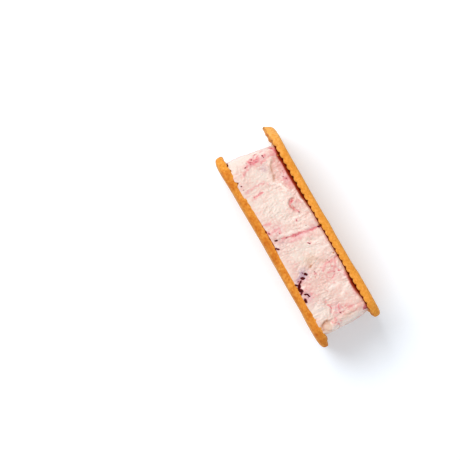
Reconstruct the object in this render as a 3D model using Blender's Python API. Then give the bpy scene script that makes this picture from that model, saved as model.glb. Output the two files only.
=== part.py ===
"""A butter sandwich cookie: two oblong butter biscuits with a thick block of berry cream between them.

It stands on its long edge, as laid down to show the filling.
X runs along its length, Y through its three layers, and Z up, across its width.
The origin is the middle of the footprint, with both biscuits resting at Z = 0.
Sizes are in millimetres, and turn to metres where each mesh is made.
"""

import math

import bmesh
import bpy
import numpy as np
from mathutils import Matrix, Vector, noise

MM = 0.001

# The whole cookie.
WIDTH = 43.7
FILLING_THICKNESS = 18.0
FILLING_MIDDLE = 0.15  # the left biscuit is the thicker one, so the filling sits a little towards +Y
CORNER = 7.6
CORNER_POWER = 1.55  # 2 is a round corner, 1 a straight chamfer
CORNER_STEPS = 24
TOUCHING_GAP = 0.3

# The two biscuits.
LENGTH_LEFT = 80.7
LENGTH_RIGHT = 81.9
SHIFT_LEFT = 1.0
SHIFT_RIGHT = -0.1
THICKNESS_LEFT = 4.1
THICKNESS_RIGHT = 3.8
RIM_SIZE_LEFT = 0.95
RIM_SIZE_RIGHT = 0.7
MAT_PITCH = 2.55  # weave of the perforated baking mat that marks the inner faces
NOTCH_FROM = 1.15  # where one notch crosses the cookie's length, and the others follow from it
NOTCH_DEPTH = 0.7
PILLOW_EDGE = 0.22  # share of a pitch between the bottom of a notch and the pillow beside it
RIM_WOBBLE = 0.18
FACE_WOBBLE = 0.12
WOBBLE_LENGTH = 12.0
BEVEL_RISE = 1.1  # the +X ends are thinner, because their inner edge is baked away
BEVEL_RUN = 3.0
BEVEL_TOP = 2.2
TIP_SLOPE = 0.5  # one end slants back from a thin tip by this much for each millimetre of height
LIP_HEIGHT = 1.0  # the edge's rounding by the cream, which a thin tip doesn't have
RIM_REACH = 3.0

# One row for each ring of a biscuit's inner part: how far it lies inside the outline, how high over
# the inner face, its share of the notches' depth, and its points in each pitch of the weave.
INNER_ROWS = (
    (4.6, 0.00, 0.0, 1),
    (3.8, 0.00, 0.6, 3),
    (0.7, 0.00, 1.0, 3),
    (0.18, 0.32, 0.9, 3),
    (0.0, 0.95, 0.1, 3),
)
# The same for the rim round the outer face: how far inside the outline and how far below the face,
# for a rim of full size.
RIM_ROWS = ((0.0, 1.8), (0.3, 1.1), (0.95, 0.5), (2.1, 0.15), (4.8, 0.0))

# The cream block.
CREAM_LENGTH = 73.6
CREAM_WIDTH = 41.6
CREAM_CORNER = 5.2
CREAM_CORNER_POWER = 1.9
CREAM_SHIFT = 1.0
FINE_REACH = 39.0  # from the middle of the upper side to past its rounded corners
FINE_COLUMN = 0.95
COARSE_COLUMN = 1.5
CREAM_ROWS = 13
EDGE_CROWDING = 1.25  # above 1 the rows crowd towards the biscuits
EDGE_ROUNDING = 0.55
EDGE_GAP = 0.7  # how far the cream's upper edge has shrunk from one biscuit, where it has
EDGE_GAP_DEPTH = 4.5
HALF_BLOCK = FILLING_THICKNESS / 2 - TOUCHING_GAP
SWELL = 0.35
SWELL_LENGTH = 9.0

# The scraps of berry skin in the cream.
SCRAP_THICKNESS = 0.75
HIDDEN_SCRAPS = 9
SCRAP_SEED = 7


def clear_scene():
    for obj in list(bpy.data.objects):
        bpy.data.objects.remove(obj)


def food_material(name, colour, roughness):
    material = bpy.data.materials.new(name)
    material.use_nodes = True
    shader = material.node_tree.nodes["Principled BSDF"]
    shader.inputs["Base Color"].default_value = (*colour, 1.0)
    shader.inputs["Roughness"].default_value = roughness
    shader.inputs["Metallic"].default_value = 0.0
    return material


def smooth(low, high, value):
    """0 below low, 1 above high, and a soft turn between them."""
    t = np.clip((value - low) / (high - low), 0.0, 1.0)
    return t * t * (3.0 - 2.0 * t)


def bump(distance, width):
    """1 at no distance, and falling softly over about this width."""
    return np.exp(-((distance / width) ** 2))


def superellipse(angle, power):
    """The outward (x, z) of a corner at this angle."""
    return [
        math.copysign(abs(round(part, 9)) ** (2 / power), part)
        for part in (math.cos(angle), math.sin(angle))
    ]


def oblong(length, width, corner, power):
    """A closed line of (x, z, outward x, outward z), from the middle of the lower side towards +X."""
    half_x, half_z = length / 2 - corner, width / 2 - corner
    line = [(0.0, -width / 2, 0.0, -1.0)]
    for quarter, (side_x, side_z) in enumerate(((1, -1), (1, 1), (-1, 1), (-1, -1))):
        for step in range(CORNER_STEPS + 1):
            out_x, out_z = superellipse((quarter - 1 + step / CORNER_STEPS) * math.pi / 2, power)
            x, z = side_x * half_x + corner * out_x, side_z * half_z + corner * out_z
            length_out = math.hypot(out_x, out_z)
            line.append((x, z, out_x / length_out, out_z / length_out))
    line.append(line[0])
    return np.array(line)


def arc_lengths(line):
    steps = np.hypot(*np.diff(line[:, :2], axis=0).T)
    return np.concatenate([[0.0], np.cumsum(steps)])


def at_lengths(line, lengths):
    """The line's (x, z) and outward (x, z) at these distances along it."""
    known = arc_lengths(line)
    found = np.stack([np.interp(lengths, known, line[:, i]) for i in range(4)], axis=1)
    return found[:, :2], found[:, 2:]


def stitch(bm, first, second):
    """Faces between two loops, where one may have three times the other's points."""
    if len(first) < len(second):
        first, second = second, first
    ratio = len(first) // len(second)
    for j, here in enumerate(second):
        there = second[(j + 1) % len(second)]
        run = [first[(ratio * j + i) % len(first)] for i in range(ratio + 1)]
        if ratio == 1:
            bm.faces.new((run[0], run[1], there, here))
            continue
        middle = ratio // 2
        bm.faces.new((run[middle], there, here))
        for i in range(ratio):
            bm.faces.new((run[i], run[i + 1], here if i < middle else there))


def loft(name, rings, material):
    """A closed body through rings of points in millimetres, capped at both ends."""
    bm = bmesh.new()
    loops = [[bm.verts.new(Vector(point) * MM) for point in ring] for ring in rings]
    for lower, upper in zip(loops, loops[1:]):
        stitch(bm, lower, upper)
    bm.faces.new(loops[0])
    bm.faces.new(loops[-1])
    bmesh.ops.recalc_face_normals(bm, faces=bm.faces)
    mesh = bpy.data.meshes.new(name)
    bm.to_mesh(mesh)
    bm.free()
    mesh.materials.append(material)
    mesh.shade_smooth()
    mesh.set_sharp_from_angle(angle=math.radians(50))
    return bpy.data.objects.new(name, mesh)


def wobble(x, z, seed):
    """Slow unevenness from about -1 to 1."""
    return noise.noise(Vector((x / WOBBLE_LENGTH, z / WOBBLE_LENGTH, seed * 7.31)))


def notch_lengths(outline, shift, per_pitch):
    """Distances round a biscuit of its notches, with the sides of each pillow between them."""
    around = arc_lengths(outline)[-1]
    pitches = round(around / MAT_PITCH)
    shares = (0.0,) if per_pitch == 1 else (0.0, PILLOW_EDGE, 1 - PILLOW_EDGE)
    # The upper side runs back towards -X from the middle of the outline's length.
    first = around / 2 - (NOTCH_FROM - shift)
    return [(first + (k + share) * around / pitches) % around for k in range(pitches) for share in shares]


def biscuit_ring(outline, length, shift, row, side, seed, end_bevel, tip):
    """One ring of points round a biscuit, for one row of its section."""
    row_inset, height, notch, per_pitch = row
    ring = []
    for k, (spot, out) in enumerate(zip(*at_lengths(outline, notch_lengths(outline, shift, per_pitch)))):
        # The lower long side stays true, so that the cookie has a flat strip to stand on.
        free = smooth(-WIDTH / 2 + 1.0, -WIDTH / 2 + 5.0, spot[1])
        rim_wobble = RIM_WOBBLE * free * (wobble(*spot, seed) - 0.5)
        face_wobble = FACE_WOBBLE * wobble(*spot, seed + 3) * smooth(2.0, 3.4, height)
        tipped = tip * smooth(length / 2 - 5.5, length / 2 - 2.0, -spot[0])
        inset = row_inset
        if row_inset < RIM_REACH:
            inset *= 1 - tipped * (height < LIP_HEIGHT)
            inset += TIP_SLOPE * tipped * height
        bevel = end_bevel * BEVEL_RISE * smooth(length / 2 - 5.0, length / 2, spot[0])
        bevel *= (1 - smooth(0.0, BEVEL_RUN, inset)) * max(0.0, 1 - height / BEVEL_TOP)
        notch_depth = NOTCH_DEPTH * notch if k % per_pitch == 0 else 0.0
        x, z = spot + out * (rim_wobble - inset)
        layer = height + bevel + notch_depth * (1 - bevel / 2) + face_wobble
        ring.append((x + shift, side * (FILLING_THICKNESS / 2 + layer) + FILLING_MIDDLE, z + WIDTH / 2))
    return ring


def biscuit(name, length, thickness, rim_size, shift, side, seed, end_bevel, tip, material):
    """side is +1 for the biscuit towards +Y and -1 for the other."""
    outline = oblong(length, WIDTH, CORNER, CORNER_POWER)
    rim_rows = [(inset * rim_size, thickness - drop * rim_size, 0.0, 1) for inset, drop in RIM_ROWS]
    rows = (*INNER_ROWS, *rim_rows)
    rings = [biscuit_ring(outline, length, shift, row, side, seed, end_bevel, tip) for row in rows]
    return loft(name, rings, material)


def distance_to_path(u, v, path):
    """Distance in millimetres from each (u, v) to a line through the path's points."""
    nearest = np.full(np.shape(u), np.inf)
    for (u0, v0), (u1, v1) in zip(path, path[1:]):
        run_u, run_v = u1 - u0, v1 - v0
        share = ((u - u0) * run_u + (v - v0) * run_v) / (run_u**2 + run_v**2)
        share = np.clip(share, 0.0, 1.0)
        nearest = np.minimum(nearest, np.hypot(u - u0 - share * run_u, v - v0 - share * run_v))
    return nearest


# Where one scoop of cream meets the next on a long face: u along the cookie, v through it.
SEAM = ((1.1, 9.4), (0.2, 3.0), (-1.2, -4.0), (-2.4, -9.4))
SCOOP_EDGE = ((14.2, 9.4), (13.4, 4.0), (12.6, -0.5), (13.9, -4.2), (15.8, -7.2), (18.2, -9.4))
RIPPLE = ((25.0, -3.3), (28.8, -2.6), (31.6, -1.8), (34.0, 0.9), (36.0, 2.4))
HOOK = ((-12.4, 4.9), (-12.6, 3.9), (-11.4, 3.2), (-9.3, 3.6), (-7.6, 4.0))
SOFT_RIDGE = ((9.0, 0.5), (11.3, 1.8), (13.8, 3.4), (15.6, 4.9))
LEDGE = ((-31.0, 7.4), (-28.4, 5.0), (-25.3, 3.6), (-21.6, 2.8), (-18.6, 5.5), (-13.6, 8.8))
LOBE = (34.3, -7.0)
END_FOLDS = (
    ((-9.0, 9.4), (-7.0, 2.0), (-9.5, -9.4)),
    ((6.0, 9.4), (4.0, 1.0), (8.0, -4.0), (7.0, -9.4)),
)


def shrunk(u):
    """Where the cream's edge by the biscuit towards +Y has drawn back from it, from 0 to 1."""
    first = smooth(-35.0, -27.0, u) * (1 - smooth(-14.0, -4.5, u))
    return first + smooth(17.5, 25.0, u) * (1 - smooth(27.0, 33.0, u))


def long_face_relief(u, v):
    """Height of the cream over its plain block, on a long face, in millimetres."""
    height = -0.85 * bump(distance_to_path(u, v, SEAM), 0.9)
    height -= 0.75 * bump(distance_to_path(u, v, SCOOP_EDGE), 1.1)
    height -= 0.55 * bump(distance_to_path(u, v, RIPPLE), 0.8)
    height -= 0.65 * bump(distance_to_path(u, v, HOOK), 0.8)
    height += 0.35 * bump(distance_to_path(u, v, SOFT_RIDGE), 1.6)
    ledge = smooth(-0.3, 0.8, v - np.interp(u, *zip(*LEDGE)))
    height -= 0.6 * ledge * smooth(-31.5, -29.0, u) * (1 - smooth(-15.5, -13.0, u))
    from_lobe = np.hypot(u - LOBE[0], v - LOBE[1])
    height += 0.8 * bump(from_lobe, 1.7) - 0.6 * bump(from_lobe - 2.7, 0.6)
    return height - 0.25 * smooth(6.6, 9.0, v) - 0.9 * shrunk(u) * smooth(7.6, 9.0, v)


def end_face_relief(u, v):
    """The same on a short end, where u runs up the end from its middle."""
    folds = [0.7 * bump(distance_to_path(u, v, path), 1.0) for path in END_FOLDS]
    return -sum(folds)


def cream_relief(spots, outward, v):
    """Relief all round the block, at (x, z) spots with these outward directions."""
    x, z = spots.T
    out_x, out_z = outward.T
    x = x + CREAM_SHIFT
    side = np.sign(x)
    height = smooth(0.2, 0.7, out_z) * long_face_relief(x, v)
    height += smooth(0.2, 0.7, -out_z) * long_face_relief(-x, -v)
    height += smooth(0.2, 0.7, np.abs(out_x)) * end_face_relief(z * side, v * side)
    # The -X end slants across the layers, and the +X end bulges.
    height -= smooth(0.2, 0.9, -out_x) * np.maximum(0.0, 1.1 + 0.17 * v)
    height -= smooth(0.2, 0.9, out_x) * 0.013 * v * v
    return height


def swell(spot, v):
    place = Vector((spot[0], v, spot[1])) / SWELL_LENGTH
    return SWELL * noise.noise(place + Vector((3.1, 0.7, 9.2)))


def cream_columns(around):
    """Distances round the block, close together over the upper long side and wider elsewhere."""
    start, middle = around / 2 - FINE_REACH, around / 2 + FINE_REACH
    fine_count = round(2 * FINE_REACH / FINE_COLUMN)
    coarse_count = round((around - 2 * FINE_REACH) / COARSE_COLUMN)
    fine = np.linspace(start, middle, fine_count, endpoint=False)
    coarse = np.linspace(middle, start + around, coarse_count, endpoint=False)
    return np.concatenate([fine, coarse]) % around


def cream_ring(spots, outward, v, inset):
    """One ring of points round the block, v through its layers and inset from its surface."""
    share = (v - FILLING_MIDDLE) / HALF_BLOCK
    rounding = EDGE_ROUNDING * smooth(HALF_BLOCK - 1.0, HALF_BLOCK, HALF_BLOCK * abs(share))
    heights = cream_relief(spots, outward, np.full(len(spots), v)) - rounding - inset
    drawn_back = EDGE_GAP * shrunk(spots[:, 0] + CREAM_SHIFT) * smooth(0.5, 0.9, outward[:, 1])
    drawn_back *= smooth(0.5, 1.0, share) * (inset == 0)
    ring = []
    for spot, out, height, back in zip(spots, outward, heights, drawn_back):
        x, z = spot + out * (height + swell(spot, v))
        ring.append((x + CREAM_SHIFT, v - back, z + WIDTH / 2))
    return ring


def cream_block(outline, material):
    spots, outward = at_lengths(outline, cream_columns(arc_lengths(outline)[-1]))
    rings = []
    for row in np.linspace(-1.0, 1.0, CREAM_ROWS):
        v = HALF_BLOCK * math.copysign(1 - (1 - abs(row)) ** EDGE_CROWDING, row)
        rings.append(cream_ring(spots, outward, FILLING_MIDDLE + v, 0))
    # Some way down the gap the cream meets the biscuit again.
    rings.append(cream_ring(spots, outward, FILLING_MIDDLE + HALF_BLOCK, EDGE_GAP_DEPTH))
    return loft("cream_filling", rings, material)


# The scraps that show on the upper side: u, v, length and width.
SHOWN_SCRAPS = (
    (14.1, -4.3, 1.2, 0.9),
    (15.0, -6.0, 1.1, 0.9),
    (16.6, -7.8, 1.8, 0.8),
    (18.2, -7.8, 1.5, 1.0),
    (20.9, -7.7, 1.6, 0.8),
    (12.2, -1.3, 1.6, 0.7),
    (-2.2, -7.2, 1.2, 0.7),
    (0.9, -7.9, 1.5, 0.7),
    (-6.0, -7.9, 1.0, 0.9),
    (-31.4, 4.2, 0.9, 0.7),
    (-30.9, -3.9, 0.8, 0.7),
    (-25.8, -7.9, 0.9, 0.7),
)


def scrap_places(outline):
    """Each scrap's distance round the block, v, length and width."""
    upper = outline[outline[:, 1] > 0]
    upper_lengths = arc_lengths(outline)[outline[:, 1] > 0]
    around = arc_lengths(outline)[-1]
    for u, v, length, width in SHOWN_SCRAPS:
        yield np.interp(CREAM_SHIFT - u, -upper[:, 0], upper_lengths), v, length, width
    rng = np.random.default_rng(SCRAP_SEED)
    for place in np.linspace(-0.22, 0.22, HIDDEN_SCRAPS) * around:
        yield (place + rng.uniform(-3, 3)) % around, rng.uniform(-7.5, 7.5), rng.uniform(0.9, 1.5), 0.8


def scrap_mesh(k, outline, place, v, length, width, material):
    """A flat scrap of skin, half sunk in the cream."""
    spots, outward = at_lengths(outline, [place])
    height = cream_relief(spots, outward, np.array([v]))[0] + swell(spots[0], v)
    x, z = spots[0] + outward[0] * height
    spot = Vector((x + CREAM_SHIFT, v, z + WIDTH / 2)) * MM
    turn = Vector((outward[0][0], 0.0, outward[0][1])).to_track_quat("Z", "Y").to_matrix().to_4x4()
    size = Matrix.Diagonal((length * MM, width * MM, SCRAP_THICKNESS * MM, 1.0))
    matrix = Matrix.Translation(spot) @ turn @ Matrix.Rotation(0.7 * k, 4, "Z") @ size
    bm = bmesh.new()
    bmesh.ops.create_uvsphere(bm, u_segments=6, v_segments=4, radius=0.5, matrix=matrix)
    mesh = bpy.data.meshes.new(f"scrap_{k}")
    bm.to_mesh(mesh)
    bm.free()
    mesh.materials.append(material)
    return mesh


def fuse_scraps(cream, outline, material):
    """One union of all the scraps with the cream."""
    scraps = bpy.data.collections.new("berry_scraps")
    bpy.context.scene.collection.children.link(scraps)
    for k, scrap in enumerate(scrap_places(outline)):
        mesh = scrap_mesh(k, outline, *scrap, material)
        scraps.objects.link(bpy.data.objects.new(mesh.name, mesh))
    union = cream.modifiers.new("join_scraps", "BOOLEAN")
    union.operation = "UNION"
    union.operand_type = "COLLECTION"
    union.collection = scraps
    union.solver = "MANIFOLD"
    bpy.context.view_layer.update()
    graph = bpy.context.evaluated_depsgraph_get()
    cream.data = bpy.data.meshes.new_from_object(cream.evaluated_get(graph))
    cream.modifiers.clear()
    for obj in list(scraps.objects):
        bpy.data.objects.remove(obj)
    bpy.data.collections.remove(scraps)


def centre_on_origin(objects):
    """Moves every mesh alike, so that the footprint's middle is the origin and Z starts at 0."""
    points = np.array([v.co for obj in objects for v in obj.data.vertices])
    low, high = points.min(axis=0), points.max(axis=0)
    move = Vector((-(low[0] + high[0]) / 2, -(low[1] + high[1]) / 2, -low[2]))
    for obj in objects:
        obj.data.transform(Matrix.Translation(move))


def main():
    clear_scene()
    cookie = bpy.data.collections.new("butter_sandwich_cookie")
    bpy.context.scene.collection.children.link(cookie)
    dough = food_material("baked_butter_dough", (0.82, 0.36, 0.07), 0.75)
    cream = food_material("berry_cream", (0.88, 0.66, 0.60), 0.45)
    skin = food_material("berry_skin", (0.06, 0.004, 0.012), 0.3)

    left = biscuit(
        "left_biscuit", LENGTH_LEFT, THICKNESS_LEFT, RIM_SIZE_LEFT, SHIFT_LEFT, -1, 1, 1.0, 0.0, dough
    )
    right = biscuit(
        "right_biscuit", LENGTH_RIGHT, THICKNESS_RIGHT, RIM_SIZE_RIGHT, SHIFT_RIGHT, 1, 2, 0.4, 1.0, dough
    )
    outline = oblong(CREAM_LENGTH, CREAM_WIDTH, CREAM_CORNER, CREAM_CORNER_POWER)
    block = cream_block(outline, cream)
    for obj in (left, right, block):
        cookie.objects.link(obj)
    fuse_scraps(block, outline, skin)
    centre_on_origin((left, right, block))


main()
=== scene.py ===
# %% [markdown]
# # A butter sandwich cookie
#
# Two oblong butter biscuits hold a thick block of pale cream with berry juice stirred through it.
# The cookie stands on its long edge, and the camera looks straight down on the filling.
# The solids that carry it come from the frame, and this script gives them their real surface:
# sandy baked dough, scraped cream, ripples of juice and scraps of berry skin.
# Everything is modelled as mesh from formulas, so that it holds up from every side.

import itertools
import math

import bmesh
import bpy
import numpy as np
from mathutils import Matrix, Vector, noise


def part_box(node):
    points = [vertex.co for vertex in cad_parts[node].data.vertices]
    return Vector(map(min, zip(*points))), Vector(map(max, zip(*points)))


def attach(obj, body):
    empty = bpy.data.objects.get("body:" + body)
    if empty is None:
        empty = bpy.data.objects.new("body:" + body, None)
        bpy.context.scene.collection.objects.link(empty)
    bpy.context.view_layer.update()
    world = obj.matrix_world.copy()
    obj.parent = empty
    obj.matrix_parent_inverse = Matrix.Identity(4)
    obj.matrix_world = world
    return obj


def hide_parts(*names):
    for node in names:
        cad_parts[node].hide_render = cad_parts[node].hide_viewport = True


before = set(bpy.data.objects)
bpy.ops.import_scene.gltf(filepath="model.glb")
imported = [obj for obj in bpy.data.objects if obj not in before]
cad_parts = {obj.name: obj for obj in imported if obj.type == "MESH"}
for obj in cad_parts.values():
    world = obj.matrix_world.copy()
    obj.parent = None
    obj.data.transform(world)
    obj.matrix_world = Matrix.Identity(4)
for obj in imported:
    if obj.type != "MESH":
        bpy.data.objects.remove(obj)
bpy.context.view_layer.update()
MM = 0.001
print("solids:", sorted(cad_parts))

# %% [markdown]
# ## Camera
#
# The photograph was taken from straight above with a long lens, so the sides of the cookie hardly show.
# A camera high over the table with a long focal length does the same.
# It doesn't sit over the cookie but over the middle of the picture, with the cookie off to the right,
# and it is turned about its own axis until the cookie lies at the photograph's slant.

# %% Place the camera
CAMERA_HEIGHT = 1300.0  # mm over the table
SCALE_HEIGHT = 32.0  # mm over the table, where the picture's width is measured
PICTURE_WIDTH = 170.2  # mm across the picture at that height
COOKIE_SLANT = 60.0  # degrees from the picture's horizontal down to the cookie's length
CAMERA_OVER = (-14.1, -20.2)  # mm from the middle of the cookie, along it and across it
SENSOR_WIDTH = 36.0

camera_data = bpy.data.cameras.new("overhead_camera")
camera_data.sensor_width = SENSOR_WIDTH
camera_data.lens = SENSOR_WIDTH * (CAMERA_HEIGHT - SCALE_HEIGHT) / PICTURE_WIDTH
camera_data.clip_end = 10.0  # metres, well past the table
camera = bpy.data.objects.new("overhead_camera", camera_data)
camera.location = (CAMERA_OVER[0] * MM, CAMERA_OVER[1] * MM, CAMERA_HEIGHT * MM)
camera.rotation_euler = (0.0, 0.0, math.radians(COOKIE_SLANT))
bpy.context.scene.collection.objects.link(camera)
bpy.context.scene.camera = camera
print("focal length in mm:", round(camera_data.lens))

# %% [markdown]
# ## Light and table
#
# The photograph is bright and soft: a white table, light from all round, and one large soft lamp
# above the upper left, whose shadow reaches about 20 mm past the cookie.
# The world gives the even light, and a wide area lamp the shadow.
# The Standard view shows colours as they are, where a film-like view would grey the white table.

# %% Set up the light
LAMP_TOWARDS = Vector((-0.46, -0.12, 1.0)).normalized()
LAMP_DISTANCE, LAMP_SIZE = 1.05, 0.55  # metres
LAMP_POWER = 7.2  # watts
SKY_STRENGTH = 0.58

WHITE = (1.0, 1.0, 1.0, 1.0)

scene = bpy.context.scene
scene.view_settings.view_transform = "Standard"
world = bpy.data.worlds.new("white_studio")
scene.world = world
world.use_nodes = True
sky = world.node_tree.nodes["Background"]
sky.inputs["Color"].default_value = WHITE
sky.inputs["Strength"].default_value = SKY_STRENGTH

lamp_data = bpy.data.lights.new("soft_lamp", "AREA")
lamp_data.shape = "DISK"
lamp_data.size = LAMP_SIZE
lamp_data.energy = LAMP_POWER
lamp = bpy.data.objects.new("soft_lamp", lamp_data)
lamp.location = LAMP_TOWARDS * LAMP_DISTANCE
lamp.rotation_euler = LAMP_TOWARDS.to_track_quat("Z", "Y").to_euler()
scene.collection.objects.link(lamp)
print("the lamp stands at", lamp.location.to_tuple(2))

# %% [markdown]
# ## Colours and nodes
#
# A picker on a screen gives sRGB values, but a shader works in linear light, so one function turns
# a hex colour into what the shader needs.
# Materials here are small node trees, and one helper adds a node with its settings and links.

# %% Helpers for materials
def paint(hex_colour):
    """A linear RGBA colour from an sRGB hex value, by the sRGB standard's own formula."""
    parts = [int(hex_colour[i : i + 2], 16) / 255 for i in (1, 3, 5)]
    linear = [p / 12.92 if p <= 0.04045 else ((p + 0.055) / 1.055) ** 2.4 for p in parts]
    return (*linear, 1.0)


def add_node(material, kind, inputs=(), **settings):
    """Adds a node. The inputs give each socket's value, or the output that feeds it."""
    made = material.node_tree.nodes.new(kind)
    for name, value in settings.items():
        setattr(made, name, value)
    for socket, value in dict(inputs).items():
        if isinstance(value, bpy.types.NodeSocket):
            material.node_tree.links.new(value, made.inputs[socket])
        else:
            made.inputs[socket].default_value = value
    return made


def new_material(name, values):
    """A material and its main shader, whose sockets take these constant values."""
    material = bpy.data.materials.new(name)
    material.use_nodes = True
    shader = material.node_tree.nodes["Principled BSDF"]
    for socket, value in values.items():
        shader.inputs[socket].default_value = value
    return material, shader


# The numbers of a colour Mix node's sockets.
FACTOR, COLOUR_A, COLOUR_B, MIXED = 0, 6, 7, 2

# %% [markdown]
# ## The table
#
# A sheet of opal acrylic with a faint light of its own, as on a light table, which keeps the shadow
# pale and the open table white. It is a stage, not part of the cookie, and catches the shadow.

# %% Make the table
TABLE_SIZE = 12.0  # metres
TABLE_GLOW = 0.22

board, _ = new_material(
    "opal_table",
    {
        "Base Color": paint("#E4ECF5"),
        "Roughness": 0.9,
        "Specular IOR Level": 0.1,
        "Emission Color": WHITE,
        "Emission Strength": TABLE_GLOW,
    },
)

bpy.ops.mesh.primitive_plane_add(size=TABLE_SIZE, location=(0.0, 0.0, 0.0))
table = bpy.context.object
table.name = "white_table"
table.data.materials.append(board)
print("the table is", TABLE_SIZE, "m wide")

# %% [markdown]
# ## Noise
#
# Dough grain, ripples and scrapes all need noise that has the same value each run and a known size.
# Blender's own noise works one point at a time, which is slow for a hundred thousand points.
# This version does them all at once: it puts a random slope at each corner of a lattice of cubes
# and blends the eight round each point. The seed, which is the number after the size in each call,
# keeps one layer of noise from looking like the next.

# %% Noise helpers
SLOPE_COUNT, SLOPE_SEED = 512, 11
# Large primes make a number that looks random out of a lattice corner's three whole numbers.
MIXING_PRIMES = np.array([73856093, 19349663, 83492791])
SEED_PRIME = 7919
SEED_SHIFT = 13.7  # each seed looks at another stretch of the noise
NOISE_GAIN = 1.7  # stretches it to about -1 to 1

slopes = np.random.default_rng(SLOPE_SEED).normal(size=(SLOPE_COUNT, 3))
slopes /= np.linalg.norm(slopes, axis=1)[:, None]


def cloud(points, size, seed):
    """Smooth noise of about -1 to 1, with blobs of about this size in the points' own unit."""
    places = points / size + SEED_SHIFT * seed
    cell = np.floor(places).astype(np.int64)
    inside = places - cell
    fade = inside**3 * (inside * (inside * 6 - 15) + 10)
    total = np.zeros(len(points))
    for corner in itertools.product((0, 1), repeat=3):
        key = (cell + corner) @ MIXING_PRIMES + SEED_PRIME * seed
        slope = slopes[(key ^ (key >> 11)) % SLOPE_COUNT]
        weight = np.prod(np.where(corner, fade, 1 - fade), axis=1)
        total += weight * np.sum(slope * (inside - corner), axis=1)
    return NOISE_GAIN * total


def rough_cloud(points, size, seed, octaves=4):
    """Noise with finer and finer detail, each layer half the size and half as strong."""
    return sum(cloud(points, size / 2**k, seed + k) / 2**k for k in range(octaves))


def smooth(low, high, value):
    """0 below low, 1 above high, and a soft turn between them."""
    t = np.clip((value - low) / (high - low), 0.0, 1.0)
    return t * t * (3.0 - 2.0 * t)


def bump(distance, width):
    """1 at no distance, and falling softly over about this width."""
    return np.exp(-((distance / width) ** 2))


# %% [markdown]
# ## Outlines and meshes
#
# Biscuits and cream share one kind of outline: an oblong whose corners are cut rather than rounded.
# A superellipse draws it, because one power turns a circle into a chamfer.
# Points on it are found by their distance along the line, so that vertices can be spaced evenly.

# %% Outline helpers
CORNER_STEPS = 60


def oblong(length, width, corner, power):
    """A closed line of (x, z, outward x, outward z), from the middle of the lower side towards +X."""
    half_x, half_z = length / 2 - corner, width / 2 - corner
    line = [(0.0, -width / 2, 0.0, -1.0)]
    for quarter, (side_x, side_z) in enumerate(((1, -1), (1, 1), (-1, 1), (-1, -1))):
        for step in range(CORNER_STEPS + 1):
            angle = (quarter - 1 + step / CORNER_STEPS) * math.pi / 2
            out_x, out_z = (
                math.copysign(abs(round(part, 9)) ** (2 / power), part)
                for part in (math.cos(angle), math.sin(angle))
            )
            out = math.hypot(out_x, out_z)
            x, z = side_x * half_x + corner * out_x, side_z * half_z + corner * out_z
            line.append((x, z, out_x / out, out_z / out))
    line.append(line[0])
    return np.array(line)


def arc_lengths(line):
    """The distance along a line at each of its points."""
    steps = np.hypot(*np.diff(line[:, :2], axis=0).T)
    return np.concatenate([[0.0], np.cumsum(steps)])


def at_lengths(line, lengths):
    """The line's (x, z) and outward (x, z) at these distances along it."""
    known = arc_lengths(line)
    found = np.stack([np.interp(lengths, known, line[:, i]) for i in range(4)], axis=1)
    return found[:, :2], found[:, 2:]


def ring_faces(rows, columns):
    """Quads between closed rings, where a ring's points follow each other."""
    row, column = np.meshgrid(np.arange(rows - 1), np.arange(columns), indexing="ij")
    after = (column + 1) % columns
    corners = (
        row * columns + column,
        row * columns + after,
        (row + 1) * columns + after,
        (row + 1) * columns + column,
    )
    return np.stack(corners, axis=-1).reshape(-1, 4)


# %% [markdown]
# All sizes here are in millimetres, and Blender wants metres, so the meshes are scaled in one place.
# A mesh can carry numbers of its own for each vertex, and these are how the shape's relief and the
# painted places reach the materials.

# %% Mesh helpers
def make_mesh(name, points, faces):
    """A smooth mesh from points in millimetres."""
    mesh = bpy.data.meshes.new(name)
    mesh.from_pydata(points * MM, [], [tuple(int(i) for i in face) for face in faces])
    mesh.validate()
    mesh.shade_smooth()
    return mesh


def normals_of(mesh):
    """The outward direction at each vertex."""
    found = np.empty(len(mesh.vertices) * 3)
    mesh.vertex_normals.foreach_get("vector", found)
    return found.reshape(-1, 3)


def turn_faces_outwards(mesh):
    """Turns the faces of a closed mesh so that all of them look out."""
    bm = bmesh.new()
    bm.from_mesh(mesh)
    bmesh.ops.recalc_face_normals(bm, faces=bm.faces)
    bm.to_mesh(mesh)
    bm.free()


def set_points(mesh, points):
    """Moves a mesh's vertices to these points in millimetres."""
    mesh.vertices.foreach_set("co", (points * MM).ravel())
    mesh.update()


def store(mesh, name, values):
    """Keeps one number for each vertex, for the shader to read."""
    layer = mesh.attributes.new(name, "FLOAT", "POINT")
    layer.data.foreach_set("value", np.ascontiguousarray(values, dtype=np.float32))


def show(name, mesh, material, node=None):
    """Puts a piece in the scene, rides it on the cookie and lets it stand for a solid."""
    piece = bpy.data.objects.new(name, mesh)
    scene.collection.objects.link(piece)
    mesh.materials.append(material)
    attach(piece, "root")
    if node:
        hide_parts(node)
    triangles = sum(len(face.vertices) - 2 for face in mesh.polygons)
    print(name, "has", triangles, "triangles")


# %% [markdown]
# ## Baked butter dough
#
# Shortbread is flour, sugar and butter: a dry, matt surface with a sandy grain of about half a
# millimetre. The colour follows the relief that the mesh carries: painted shade makes the hollows
# darker and redder and painted light makes the high grains paler, with slow blotches on top. Baked
# dough has no gloss to speak of: an IOR of 1.45 and a roughness of about 0.8 leave only a faint sheen
# on the rim. The rim is smoother than the faces, and its colour is mixed lighter. Flour dust is
# finer than the picture can show, so it is drawn at 0.22 mm, about twice its size.

# %% Material: baked butter dough
dough, dough_shader = new_material(
    "baked_butter_dough",
    {
        "IOR": 1.45,
        "Specular IOR Level": 0.3,
        "Subsurface Weight": 0.12,
        "Subsurface Radius": (1.0, 0.45, 0.15),
        "Subsurface Scale": 0.8 * MM,
    },
)

# Painted shade in the hollows, the dough's own body colour, and painted light on the crests.
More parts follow.
